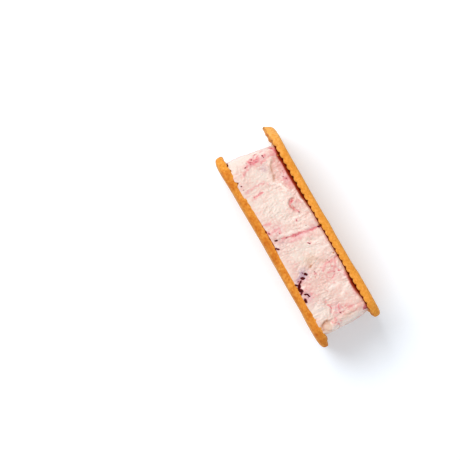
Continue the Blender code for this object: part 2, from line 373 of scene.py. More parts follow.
DOUGH_HOLLOW_SHADE, DOUGH_BODY, DOUGH_CREST_LIGHT = "#C47A2B", "#E0953D", "#F6B560"
DOUGH_RIM, DOUGH_BLOTCH, DOUGH_TOAST = "#F09C28", "#CF7F30", "#DEB968"
FLECK_SIZE, BLOTCH_SIZE, POWDER_SIZE = 0.4, 3.2, 0.22  # mm

place = add_node(dough, "ShaderNodeTexCoord").outputs["Object"]
grain_tone_and_shade, rim, toast = (
    add_node(dough, "ShaderNodeAttribute", attribute_name=name).outputs["Fac"]
    for name in ("grain_tone_and_shade", "rim", "toast")
)
noise_inputs = {"Vector": place, "Detail": 3.0, "Roughness": 0.6}
fleck, blotch, powder = (
    add_node(dough, "ShaderNodeTexNoise", {**noise_inputs, "Scale": 1 / (size * MM)}).outputs["Fac"]
    for size in (FLECK_SIZE, BLOTCH_SIZE, POWDER_SIZE)
)

# Half of the lightness is painted light and shade from the relief, and half is finer flecks.
halved = add_node(dough, "ShaderNodeMath", {0: fleck, 1: 0.5}, operation="MULTIPLY")
lightness = add_node(
    dough,
    "ShaderNodeMath",
    {0: grain_tone_and_shade, 1: 0.5, 2: halved.outputs["Value"]},
    operation="MULTIPLY_ADD",
)
stops = add_node(dough, "ShaderNodeValToRGB", {"Fac": lightness.outputs["Value"]})
stops.color_ramp.elements.new(0.5)
dough_stops = ((0.31, DOUGH_HOLLOW_SHADE), (0.49, DOUGH_BODY), (0.69, DOUGH_CREST_LIGHT))
for stop, (position, colour) in zip(stops.color_ramp.elements, dough_stops):
    stop.position = position
    stop.color = paint(colour)

# %% [markdown]
# Over that come the browner blotches, the lighter rim, and the toast: rim and edge that browned most
# in the oven. Toast multiplies, as real browning only ever darkens.

# %% Blotches, rim and toast
blotch_amount = add_node(
    dough,
    "ShaderNodeMapRange",
    {"Value": blotch, "From Min": 0.5, "From Max": 0.75, "To Max": 0.3},
)
browned = add_node(
    dough,
    "ShaderNodeMix",
    {
        FACTOR: blotch_amount.outputs["Result"],
        COLOUR_A: stops.outputs["Color"],
        COLOUR_B: paint(DOUGH_BLOTCH),
    },
    data_type="RGBA",
)
rim_amount = add_node(dough, "ShaderNodeMath", {0: rim, 1: 0.45}, operation="MULTIPLY")
coloured = add_node(
    dough,
    "ShaderNodeMix",
    {
        FACTOR: rim_amount.outputs["Value"],
        COLOUR_A: browned.outputs[MIXED],
        COLOUR_B: paint(DOUGH_RIM),
    },
    data_type="RGBA",
)
toasted = add_node(
    dough,
    "ShaderNodeMix",
    {FACTOR: toast, COLOUR_A: coloured.outputs[MIXED], COLOUR_B: paint(DOUGH_TOAST)},
    data_type="RGBA",
    blend_type="MULTIPLY",
)
dough.node_tree.links.new(toasted.outputs[MIXED], dough_shader.inputs["Base Color"])
dryness = add_node(
    dough,
    "ShaderNodeMapRange",
    {"Value": powder, "To Min": 0.7, "To Max": 0.95},
)
dough.node_tree.links.new(dryness.outputs["Result"], dough_shader.inputs["Roughness"])
crumb_bump = add_node(
    dough,
    "ShaderNodeBump",
    {"Height": powder, "Strength": 0.5, "Distance": 0.12 * MM},
)
dough.node_tree.links.new(crumb_bump.outputs["Normal"], dough_shader.inputs["Normal"])
print("baked butter dough has", len(dough.node_tree.nodes), "nodes")

# %% [markdown]
# ## The biscuits
#
# Each biscuit was cut from rolled dough and baked on a woven silicone mat. Its outer face is flat
# with a soft rim, and its inner face took the print of the mat: a grid of small pillows with
# grooves between them, which shows as a notched edge beside the cream. Drying has bent the outer
# faces in a little, and the inner edges are slightly worn.
#
# The mesh follows the outline in rings, over the inner edge, up the side and over the rim. The flat
# of the outer face is a grid stretched between the last ring's four corners, so that the grain
# stays even right across it. A vertex every 0.28 mm carries the grain as real relief.

# %% Biscuit sizes
SHIFT_LEFT, SHIFT_RIGHT = 1.0, -0.1  # of each biscuit's middle along the cookie
CORNER = 7.6
CORNER_POWER = 1.55  # 2 is a round corner, 1 a straight chamfer
GRAIN_STEP = 0.28
MAT_PITCH = 2.55
NOTCH_FROM = 1.15  # where one groove crosses the cookie's length, as the others follow from it
NOTCH_DEPTH = 0.68
WEAVE_POWER = 0.8
FAINT_PRINT = 0.4  # the left biscuit lay lightly on the mat, apart from a few deeper notches
OPEN_NOTCHES = (-35.1, -32.7, -27.3, -6.7)
OPEN_WIDTH = 0.6
PLAIN_EDGE = (34.5, 36.5)  # from the middle, between which the edge loses most of its notches
RIM_INSET = 4.8  # how far in from the side the outer face is flat
RIM_HEIGHT = 2.2
RIM_POWER = 2.9
LIP_INSET = 0.7  # the small rounding of the inner edge
LIP_HEIGHT = 1.0
CURVE_POINTS = 40  # of the lip and of the rim, before they are spaced evenly
INNER_REACH = 6.5  # how far in the inner face is modelled, past which the cream covers it
RIM_WOBBLE = 0.18
WOBBLE_INWARDS = 0.6  # a share of it, which keeps the outline within the solid
FACE_WOBBLE = 0.12
WOBBLE_LENGTH = 12.0
WOBBLE_SEED_STEP = 7.31  # how far apart the wobbles of two seeds lie in the noise
BEVEL_RISE = 1.1  # how much the inner face slants away at one end, over this run and up to this top
BEVEL_RUN = 3.0
BEVEL_TOP = 2.2
GRAIN_SIZE = 0.8
PIT_SIZE = 0.6
GRAIN_HEIGHT = 0.045
HIGHEST_GRAIN = 1.0  # rolling pressed the highest grains flat
GRAIN_ROOM = 0.1  # the plain form is smaller by this, so that the grain stays within the solid
TIP_LENGTH, TIP_FULL = 5.5, 2.0  # one end thins to a tip between these distances from it
TIP_SLOPE = 0.5  # and slants back from it by this much for each millimetre of height

# The cookie's own middle, from which all places along it and through it are counted.
biscuit_boxes = np.array([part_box("left_biscuit"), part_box("right_biscuit")]) / MM
cookie_middle = biscuit_boxes.mean(axis=(0, 1)) - [(SHIFT_LEFT + SHIFT_RIGHT) / 2, 0.0, 0.0]
print("the cookie's middle:", cookie_middle.round(3))

# %% [markdown]
# The grain is as fine as the mesh, and stretched quads would smear it. So the helpers space points
# evenly round the outline and along the rim's profile, and the face's grid starts from the last ring.

# %% Rings, rim and face
def even_stations(outline):
    """Distances round the outline about a grain step apart, with one at each corner's middle."""
    known = arc_lengths(outline)
    around = known[-1]
    middles = [known[1 + k * (CORNER_STEPS + 1) + CORNER_STEPS // 2] for k in range(4)]
    end_count = round((middles[1] - middles[0]) / GRAIN_STEP)
    side_count = round((middles[2] - middles[1]) / GRAIN_STEP)
    runs = zip(middles, [*middles[1:], middles[0] + around], (end_count, side_count) * 2)
    lengths = [np.linspace(start, stop, count, endpoint=False) for start, stop, count in runs]
    return np.concatenate(lengths) % around, side_count, end_count


def rim_profile(thickness, rim_size):
    """(inset, height) pairs from the inner face to the flat of the outer one, evenly spaced."""
    turn = np.linspace(0, math.pi / 2, CURVE_POINTS)
    lip_inset = LIP_INSET * (1 - np.sin(turn))
    lip_height = LIP_HEIGHT * (1 - np.cos(turn))
    rim_inset = rim_size * RIM_INSET * (1 - np.cos(turn) ** (2 / RIM_POWER))
    rim_height = thickness - rim_size * RIM_HEIGHT * (1 - np.sin(turn) ** (2 / RIM_POWER))
    inset = np.concatenate([[INNER_REACH], lip_inset, rim_inset])
    height = np.concatenate([[0.0], lip_height, rim_height])
    length = np.concatenate([[0.0], np.cumsum(np.hypot(np.diff(inset), np.diff(height)))])
    even = np.linspace(0, length[-1], round(length[-1] / GRAIN_STEP))
    return np.interp(even, length, inset), np.interp(even, length, height)


def stretched_grid(ring, side_count, end_count):
    """Points and faces that fill a ring, whose points start at its lower +X corner."""
    size = len(ring)
    corners = np.cumsum([0, end_count, side_count, end_count])
    right = np.arange(corners[0], corners[1] + 1)
    top = np.arange(corners[1], corners[2] + 1)[::-1]
    left = np.arange(corners[2], corners[3] + 1)[::-1]
    bottom = np.arange(corners[3], size + 1) % size
    index = np.zeros((side_count + 1, end_count + 1), dtype=np.int64)
    index[1:-1, 1:-1] = size + np.arange((side_count - 1) * (end_count - 1)).reshape(
        side_count - 1, end_count - 1
    )
    index[:, 0], index[:, -1], index[0, :], index[-1, :] = bottom, top, left, right
    u = np.linspace(0, 1, side_count + 1)[1:-1, None, None]
    v = np.linspace(0, 1, end_count + 1)[None, 1:-1, None]
    low, high = ring[bottom][1:-1, None], ring[top][1:-1, None]
    near, far = ring[left][None, 1:-1], ring[right][None, 1:-1]
    flat = (1 - v) * low + v * high + (1 - u) * near + u * far
    flat -= (1 - u) * ((1 - v) * ring[bottom[0]] + v * ring[top[0]])
    flat -= u * ((1 - v) * ring[bottom[-1]] + v * ring[top[-1]])
    quads = np.stack([index[:-1, :-1], index[1:, :-1], index[1:, 1:], index[:-1, 1:]], axis=-1)
    return flat.reshape(-1, 3), quads.reshape(-1, 4)


def weave(u, z):
    """Depth of the mat's print, from 0 on a pillow to 1 in a groove."""
    across = np.abs(np.sin((u - NOTCH_FROM) * math.pi / MAT_PITCH)) ** WEAVE_POWER
    along = np.abs(np.sin(z * math.pi / MAT_PITCH)) ** WEAVE_POWER
    return 1 - np.minimum(across, along)


def slow_wobble(x, z, seed):
    """The same slow unevenness that the solids have."""
    places = zip(x / WOBBLE_LENGTH, z / WOBBLE_LENGTH)
    return np.array([noise.noise(Vector((a, b, seed * WOBBLE_SEED_STEP))) for a, b in places])


# %% [markdown]
# No biscuit is quite straight. These functions give the bend of each outer face and the wear of each
# inner edge at a place u along the cookie, all in millimetres, as the photograph shows them.

# %% Bends, wear and open notches
def bowed_left(u):
    """How far the left biscuit's outer face bends in towards the cream: a wide bend and a dip."""
    return 0.28 * (1 - smooth(24.0, 33.0, np.abs(u))) + 0.14 * bump(u + 3.5, 7.0)


def bowed_right(u):
    """The same for the right biscuit, with a low bulge near its middle."""
    return 0.25 * smooth(-36.0, -24.0, u) * (1 - smooth(18.0, 24.0, u)) - 0.17 * bump(u - 2.2, 3.0)


def worn_left(u):
    """How far the left biscuit's inner edge has worn away, which is at one end only."""
    return 0.3 * smooth(-33.5, -35.5, u)


def worn_right(u):
    """The same for the right biscuit, which is worn all along."""
    return 0.14 + 0.07 * smooth(-14.0, -8.0, u)


def opened(u):
    """1 at the notches that are deep and open, and 0 away from them."""
    return np.clip(sum(bump(u - notch, OPEN_WIDTH) for notch in OPEN_NOTCHES), 0, 1)


# %% [markdown]
# The function below builds one biscuit in a frame of its own: x along it, z across it and height
# over its inner face. Only at the end is it turned to face the cream from its own side.
#
# side is -1 for the biscuit towards -Y and 1 for the one towards +Y. The shares from 0 to 1 say how
# faint the mat's print is, how far the +X end slants away inside, how browned the rim is and
# how far the -X end is drawn out to a thin tip, which stays pale.

# %% Build a biscuit
def build_biscuit(name, node, side, seed, rim_size, faint, end_bevel, toast, tip, bowed, worn):
    """Makes one baked biscuit in place of its solid."""
    low, high = (np.array(corner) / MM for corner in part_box(node))
    size, centre = high - low, (high + low) / 2
    inner_y = high[1] if side < 0 else low[1]
    thickness = size[1] - FACE_WOBBLE / 2 - 1.5 * GRAIN_ROOM
    outline = oblong(size[0] - GRAIN_ROOM, size[2] - GRAIN_ROOM, CORNER, CORNER_POWER)
    stations, side_count, end_count = even_stations(outline)
    spots, outward = at_lengths(outline, stations)
    inset, height = rim_profile(thickness, rim_size)

    # The side that it stands on stays straight. Elsewhere the outline wobbles a little, and only
    # inwards. At the tip the inner edge keeps no rounding, and the end slants back from it.
    free = smooth(-size[2] / 2 + 1.0, -size[2] / 2 + 5.0, spots[:, 1])
    rim_wobble = RIM_WOBBLE * free * (slow_wobble(*spots.T, seed) - WOBBLE_INWARDS)
    tipped = tip * smooth(size[0] / 2 - TIP_LENGTH, size[0] / 2 - TIP_FULL, -spots[:, 0])
    on_lip = (height < LIP_HEIGHT) & (inset <= LIP_INSET + GRAIN_STEP)
    inset_here = inset[:, None] * (1 - tipped * on_lip[:, None])
    inset_here += TIP_SLOPE * tipped * (height * smooth(5.0, 3.0, inset))[:, None]
    flat = spots[None] + outward[None] * (rim_wobble[None, :] - inset_here)[..., None]
    rows, columns = len(inset), len(stations)
    rings = np.stack([flat[..., 0], np.repeat(height[:, None], columns, 1), flat[..., 1]], axis=-1)
    last_ring = (rows - 1) * columns
    filling, quads = stretched_grid(rings[-1], side_count, end_count)
    points = np.concatenate([rings.reshape(-1, 3), filling])
    faces = [*ring_faces(rows, columns)[:, ::-1], *(quads + last_ring), range(columns)]

    # The slanted end, the mat's print, the slow unevenness of the faces, their wear and their bend.
    x, over, z = points.T
    u = x + centre[0] - cookie_middle[0]
    depth = np.concatenate([np.repeat(inset, columns), np.full(len(filling), inset[-1])])
    bevel = end_bevel * BEVEL_RISE * smooth(size[0] / 2 - 5.0, size[0] / 2, x + depth)
    bevel *= (1 - smooth(0.0, BEVEL_RUN, depth)) * np.clip(1 - over / BEVEL_TOP, 0, 1)
    print_share = (1 - smooth(0.3, 1.1, over)) * (1 - faint * (1 - FAINT_PRINT) * (1 - opened(u)))
    print_share *= 1 - 0.85 * smooth(*PLAIN_EDGE, np.abs(u)) * smooth(0.0, 0.15, over)
    face_wobble = FACE_WOBBLE * slow_wobble(x, z, seed + 3) * smooth(2.0, 3.4, over)
    points[:, 1] += bevel + NOTCH_DEPTH * print_share * weave(u, z) + face_wobble
    points[:, 1] += worn(u) * (1 - smooth(0.8, 2.2, over)) - bowed(u) * smooth(0.5, 2.5, over)

    # The grain stands out along the normals, with pits between the grains, lower on the rim.
    mesh = make_mesh(name, points, faces)
    turn_faces_outwards(mesh)
    sand = rough_cloud(points + 40.0 * seed, GRAIN_SIZE, 3 + seed, 3)
    pits = smooth(0.25, 0.8, cloud(points, PIT_SIZE, 20 + seed))
    face = smooth(0.9, 2.4, depth)
    rim = smooth(0.2, 0.9, over) * (1 - face)
    relief = GRAIN_HEIGHT * np.minimum(sand - 1.3 * pits, HIGHEST_GRAIN)
    relief *= 1 - 0.4 * smooth(0.1, 0.5, over) * (1 - face)
    points += normals_of(mesh) * relief[:, None]
    points = np.stack(
        [points[:, 0] + centre[0], inner_y + side * points[:, 1], points[:, 2] + centre[2]], axis=1
    )
    set_points(mesh, points)
    turn_faces_outwards(mesh)

    # What the material reads: the grain's height, which paints shade in the pits and light on the high
    # grains, the rim, and where it is toasted.
    pale = tip * smooth(size[0] / 2 - 15.0, size[0] / 2 - 3.0, -x) * (1 - face)
    store(mesh, "grain_tone_and_shade", 0.5 + 0.4 * sand - 0.35 * pits + 0.35 * pale)
    store(mesh, "rim", rim * (1 - 0.7 * pale) * (1 - 0.3 * toast))
    patchy = 0.5 * rough_cloud(points, 3.6, 30 + seed, 2) + 0.45 * cloud(points, 1.3, 34 + seed)
    browned = toast * (1 - 0.85 * smooth(size[0] / 2 - 8.0, size[0] / 2 - 3.5, -x))
    browned += (0.3 + 0.9 * toast) * patchy
    store(mesh, "toast", browned * smooth(0.0, 1.6, over) * (1 - 0.6 * face))
    show(name, mesh, dough, node)


# %% Build the two biscuits
build_biscuit(
    "left_biscuit_baked",
    "left_biscuit",
    side=-1,
    seed=1,
    rim_size=0.95,
    faint=1.0,
    end_bevel=1.0,
    toast=0.6,
    tip=0.0,
    bowed=bowed_left,
    worn=worn_left,
)
build_biscuit(
    "right_biscuit_baked",
    "right_biscuit",
    side=1,
    seed=2,
    rim_size=0.7,
    faint=0.0,
    end_bevel=0.4,
    toast=0.0,
    tip=1.0,
    bowed=bowed_right,
    worn=worn_right,
)

# %% [markdown]
# ## Whipped berry cream
#
# The filling is a stiff cream of butter or cream cheese with crushed berries folded through it.
# It was put on in scoops and scraped level with a knife, so its long face shows where scoops meet,
# a few folds, and fine scrapes that run across the thickness.
#
# The block starts from the same plain oblong as its solid. Each point is then moved outwards by a
# height that adds up slow swells, the folds and finer noise.
# All places are in millimetres: u along the cookie, v through its layers.

# %% Cream sizes
FILLING_THICKNESS = 18.0
FILLING_MIDDLE = 0.15  # the v of its middle
CREAM_LENGTH = 73.6
CREAM_WIDTH = 41.6
CREAM_CORNER = 5.2
CREAM_CORNER_POWER = 2.2
CREAM_SHIFT = 1.0  # of its middle along the cookie
LEVEL_RISE = 0.85  # towards the left biscuit the cream rises until it is level with the biscuit's edge
THICK_PLACE = (-24.0, 0.3)  # where it rises sooner, and by how much
SCRAPED_LEVEL = 1.02  # above which the knife has taken it off
# How far it spreads over that edge: place along the cookie, and distance.
SQUEEZED_OUT = (
    (-33.0, 0.6),
    (-28.5, 1.1),
    (-21.0, 1.15),
    (-18.5, 0.75),
    (-15.0, 0.5),
    (-10.0, 0.3),
    (-1.0, 0.15),
    (4.0, 0.7),
    (12.0, 0.75),
    (24.0, 0.9),
    (31.0, 0.95),
)
SWELL, SWELL_LENGTH = 0.35, 9.0  # height and length of the slow swells
SCRAPE_WIDTH, SCRAPE_LENGTH = 0.7, 4.5
PIT_DEPTH, CREASE_DEPTH = 0.16, 0.22
END_SET_BACK, END_LEAN = 1.1, 0.17  # the -X end leans, so that its edge by the left biscuit is longer
END_ROUND = 0.013  # the +X end is rounded, and set back by this times v squared
FINE_REACH = 39.0  # from the middle of the upper side to past its rounded corners
FINE_COLUMN, COARSE_COLUMN = 0.19, 0.36  # from one column of points to the next
CREAM_ROWS = 95
SIDE_INSETS = (0.2, 0.45, 0.75, 1.1, 1.6, 3.0, 6.0)  # of the rings between cream and biscuit
GAP_DEPTH = 0.8  # how far down the gap by a biscuit is open
GAP_REACH = 0.92  # how far the filled bottom of the gap reaches into the biscuit's notches
print("the cream is", CREAM_LENGTH, "x", FILLING_THICKNESS, "x", CREAM_WIDTH, "mm")

# %% [markdown]
# Each fold is a line of a few (u, v) points, placed after the photograph: the seam between
# two scoops, the edge of a third, a ripple, a hook of folded cream, a soft ridge, one long fold with
# a lower step behind it, and the curl at one corner. Noise frays the distance from that line, and
# bump turns it into a ridge of some height and width, or a groove where it is taken off. Both are
# a few tenths of a millimetre high or deep.

# %% Folds on the long face
SEAM = ((1.3, 9.4), (1.1, 7.5), (0.6, 4.0), (-0.1, -0.2), (-1.0, -4.0), (-2.1, -7.6), (-2.5, -9.4))
SCOOP_EDGE = ((14.2, 9.4), (13.4, 4.0), (12.6, -0.5), (13.9, -4.2), (15.8, -7.2), (18.2, -9.4))
RIPPLE = ((26.2, -3.1), (27.6, -3.2), (28.3, -2.4), (29.4, -2.2), (30.9, -3.3))
HOOK = ((-12.2, 5.6), (-12.4, 4.4), (-11.2, 3.5), (-9.6, 3.6), (-8.0, 4.3))
SOFT_RIDGE = ((9.0, 0.5), (11.3, 1.8), (13.8, 3.4), (15.6, 4.9))
FOLD = (
    (-30.5, 7.2),
    (-28.2, 5.8),
    (-26.6, 4.1),
    (-24.9, 3.6),
    (-23.5, 3.5),
    (-21.3, 2.7),
    (-18.1, 5.1),
    (-16.5, 5.5),
    (-13.6, 8.8),
)
LOBE = (35.2, -6.9)  # the middle of a last dab of cream, which stands out at one corner
LOBE_HEIGHT, LOBE_REACH = 0.9, 1.9
# This fold runs across the face, so its points are (v, u).
END_FOLD = ((-4.0, 35.0), (-1.5, 34.2), (1.0, 34.4), (3.5, 33.6), (7.0, 34.0))
LOBE_CREASE = ((33.5, -5.5), (32.9, -6.5), (33.0, -7.7), (33.8, -8.7), (35.0, -9.2))
END_FOLDS = (
    ((-9.0, 9.4), (-7.0, 2.0), (-9.5, -9.4)),
    ((6.0, 9.4), (4.0, 1.0), (8.0, -4.0), (7.0, -9.4)),
)


def distance_to(u, v, path):
    """Distance in millimetres from each (u, v) to a line through the path's points."""
    nearest = np.full(np.shape(u), np.inf)
    for (u0, v0), (u1, v1) in zip(path, path[1:]):
        run_u, run_v = u1 - u0, v1 - v0
        share = ((u - u0) * run_u + (v - v0) * run_v) / (run_u**2 + run_v**2)
        share = np.clip(share, 0.0, 1.0)
        nearest = np.minimum(nearest, np.hypot(u - u0 - share * run_u, v - v0 - share * run_v))
    return nearest


def shrunk(u):
    """Where the cream's edge by the biscuit towards +Y has drawn back from it."""
    first = smooth(-35.0, -27.0, u) * (1 - smooth(-14.0, -4.5, u))
    return 1.15 * first + smooth(17.5, 25.0, u) * (1 - smooth(27.0, 33.0, u))


def folds(u, v):
    """Height of the folds over a plain block, on a long face."""
    ragged = 0.35 * cloud(np.stack([u, v, 0 * u], axis=1), 1.6, 31)
    from_seam = distance_to(u, v, SEAM) + ragged
    height = -0.3 * bump(from_seam, 1.2) - 0.18 * bump(from_seam, 0.5)
    from_scoop = distance_to(u, v, SCOOP_EDGE) + ragged
    height -= 0.35 * bump(from_scoop, 1.4) + 0.1 * bump(from_scoop, 0.45)
    height -= 0.5 * bump(distance_to(u, v, RIPPLE) + ragged, 0.5)
    from_hook = distance_to(u, v, HOOK) + 0.5 * ragged
    height += 0.25 * bump(from_hook - 1.0, 0.6) - 0.7 * bump(from_hook, 0.5)
    height += 0.35 * bump(distance_to(u, v, SOFT_RIDGE), 1.6)
    # Over the long fold the cream lies a step lower, with a crease at the step's foot.
    past_fold = v - np.interp(u, *zip(*FOLD)) + 0.6 * ragged
    fold_share = smooth(-30.0, -27.5, u) * (1 - smooth(-18.5, -14.0, u))
    crease_share = fold_share * (1 - smooth(-21.8, -20.5, u))
    height -= 0.28 * fold_share * smooth(-1.0, 1.0, past_fold)
    height += 0.12 * fold_share * bump(past_fold + 1.0, 0.8)
    height -= 0.06 * crease_share * bump(past_fold - 0.2, 0.5)
    height -= 0.8 * bump(distance_to(u, v, LOBE_CREASE) + ragged, 0.5)
    from_end_fold = u - np.interp(v, *zip(*END_FOLD)) + 1.5 * ragged
    height += 0.2 * bump(from_end_fold, 0.8) - 0.2 * bump(from_end_fold + 1.1, 0.4)
    # The folds run out before the left biscuit, and by the right one the edge has sunk.
    height *= 1 - 0.8 * smooth(-7.6, -9.0, v)
    return height - (0.06 + 0.66 * shrunk(u)) * smooth(8.5, 9.35, v)


def end_folds(u, v):
    """The same on a short end, where u runs up the end from its middle."""
    return -sum(0.7 * bump(distance_to(u, v, path), 1.0) for path in END_FOLDS)


# %% [markdown]
# Each point of the block lies partly on a long face and partly on an end. A point on the lower face
# gets the upper face's folds turned half a turn, since nobody sees both at once.

# %% The cream's surface
def face_shares(outward):
    """How far a point belongs to the upper face, the lower one and the ends."""
    out_x, out_z = outward.T
    return smooth(0.2, 0.7, out_z), smooth(0.2, 0.7, -out_z), smooth(0.2, 0.7, np.abs(out_x))


def scrape_lean(around):
    """How far the scrapes lean at this distance round the block, for each millimetre of v."""
    return 0.8 * cloud(np.stack([around, 0 * around, 0 * around], axis=1), 9.0, 40)


def cream_height(spots, outward, around, v):
    """How far the cream's surface lies outside the plain block."""
    x, z = spots[:, 0] + CREAM_SHIFT, spots[:, 1]
    out_x = outward[:, 0]
    side = np.sign(x)
    upper, lower, end = face_shares(outward)
    height = upper * folds(x, v) + lower * folds(-x, -v) + end * end_folds(z * side, v * side)
    height -= smooth(0.2, 0.9, -out_x) * np.maximum(0.0, END_SET_BACK + END_LEAN * v)
    height -= smooth(0.2, 0.9, out_x) * END_ROUND * v * v
    place = np.stack([spots[:, 0], v, spots[:, 1]], axis=1)
    slow = place / SWELL_LENGTH + np.array([3.1, 0.7, 9.2])
    height += SWELL * np.array([noise.noise(Vector(p)) for p in slow])
    height += LEVEL_RISE * upper * smooth(2.0, -8.8, v)
    height += THICK_PLACE[1] * upper * bump(x - THICK_PLACE[0], 5.0) * smooth(-5.5, -8.5, v)
    by_left = upper * smooth(-6.0, -8.0, v)
    # Scrapes of the knife run through the layers, so their noise is long in v and narrow round.
    lean = scrape_lean(around)
    scrape = np.stack([(around + lean * v) / SCRAPE_WIDTH, v / SCRAPE_LENGTH, 0 * v], axis=1)
    patchy = smooth(-0.35, 0.45, cloud(place, 6.5, 41) + 0.3 * cloud(place, 2.0, 44))
    rough = (0.03 + 0.16 * patchy) * rough_cloud(scrape, 1.0, 42, 2)
    rough += 0.14 * rough_cloud(place, 3.2, 45, 3)
    rough += (0.07 + 0.14 * patchy) * rough_cloud(place, 0.9, 49, 2)
    # Creases are where two slow noises cross zero, and pits are small bubbles that burst.
    creases = bump(cloud(place, 4.5, 54) + 0.25 * cloud(place, 1.2, 55), 0.09)
    pits = smooth(0.45, 0.8, cloud(place, 1.3, 52))
    rough -= PIT_DEPTH * pits + CREASE_DEPTH * creases * smooth(0.0, 0.5, cloud(place, 7.0, 56))
    height = np.minimum(height + rough * (1 - 0.5 * by_left), SCRAPED_LEVEL)
    # At one corner a last dab of cream stands out from the rounding.
    from_lobe = np.hypot(x - LOBE[0], v - LOBE[1])
    on_rounding = upper * smooth(0.98, 0.8, outward[:, 1]) * (out_x > 0)
    return height + LOBE_HEIGHT * bump(from_lobe, LOBE_REACH) * on_rounding


def cream_point(lengths, v):
    """The cream's surface at these distances round it, in the cookie's own millimetres."""
    spots, outward = at_lengths(cream_outline, lengths)
    around = cream_round / 2 - lengths  # which runs as x does on the upper side
    height = cream_height(spots, outward, around, v)
    x, z = (spots + outward * height[:, None]).T
    u = x + CREAM_SHIFT
    edge = (v - FILLING_MIDDLE) / (FILLING_THICKNESS / 2)
    upper = smooth(0.5, 0.9, outward[:, 1])
    ragged = 1.0 + 0.4 * rough_cloud(np.stack([u, 0 * u, 0 * u], axis=1), 3.5, 58, 2)
    drawn_back = 0.42 * shrunk(u) * smooth(0.45, 1, edge) + 0.06 * smooth(0.9, 1, edge)
    drawn_back *= ragged * upper
    pushed_out = np.interp(u, *zip(*SQUEEZED_OUT)) * (1 - opened(u))
    pushed_out *= upper * smooth(0.9, 1.0, -edge)
    return np.stack([u, v - drawn_back - pushed_out, z], axis=1)


# %% [markdown]
# The block is rings of points from one biscuit to the other. Where it touches a biscuit it goes on
# for a few millimetres between the two, so that the gaps left by the drawn-back edge look deep.

# %% Build the cream block
BISCUIT_OVERLAP = 0.03  # the cream is pressed this far into each biscuit


def cream_stations(around):
    """Distances round the block, close together over the upper long side and wider elsewhere."""
    start, stop = around / 2 - FINE_REACH, around / 2 + FINE_REACH
    fine_count = round(2 * FINE_REACH / FINE_COLUMN)
    coarse_count = round((around - 2 * FINE_REACH) / COARSE_COLUMN)
    fine = np.linspace(start, stop, fine_count, endpoint=False)
    coarse = np.linspace(stop, start + around, coarse_count, endpoint=False)
    return np.concatenate([fine, coarse]) % around


cream_outline = oblong(CREAM_LENGTH, CREAM_WIDTH, CREAM_CORNER, CREAM_CORNER_POWER)
cream_round = arc_lengths(cream_outline)[-1]
stations = cream_stations(cream_round)
half = FILLING_THICKNESS / 2 + BISCUIT_OVERLAP
across = half * np.linspace(-1, 1, CREAM_ROWS)
side_rows = np.full(len(SIDE_INSETS), half)
row_v = np.concatenate([-side_rows, across, side_rows]) + FILLING_MIDDLE
row_inset = np.concatenate([SIDE_INSETS[::-1], np.zeros(CREAM_ROWS), SIDE_INSETS])
columns = len(stations)
all_lengths = np.tile(stations, len(row_v))
all_spots, all_outward = at_lengths(cream_outline, all_lengths)
all_v = np.repeat(row_v, columns)
all_inset = np.repeat(row_inset, columns)
points = cream_point(all_lengths, all_v)
print("cream points:", len(points))

# Between the biscuits the rings shrink inwards. A little way down they reach into the gap and the
# open notches and fill them, and painted shade colours them there.
points[:, [0, 2]] -= all_outward * all_inset[:, None]
towards = np.sign(all_v - FILLING_MIDDLE)
filled = smooth(0.1, GAP_DEPTH, all_inset)
points[:, 1] += filled * (all_v + GAP_REACH * towards - points[:, 1])
faces = [*ring_faces(len(row_v), columns)[:, ::-1], range(columns)]
last = (len(row_v) - 1) * columns
faces.append(range(last, last + columns)[::-1])
cream_mesh = make_mesh("berry_cream_block", points + cookie_middle, faces)
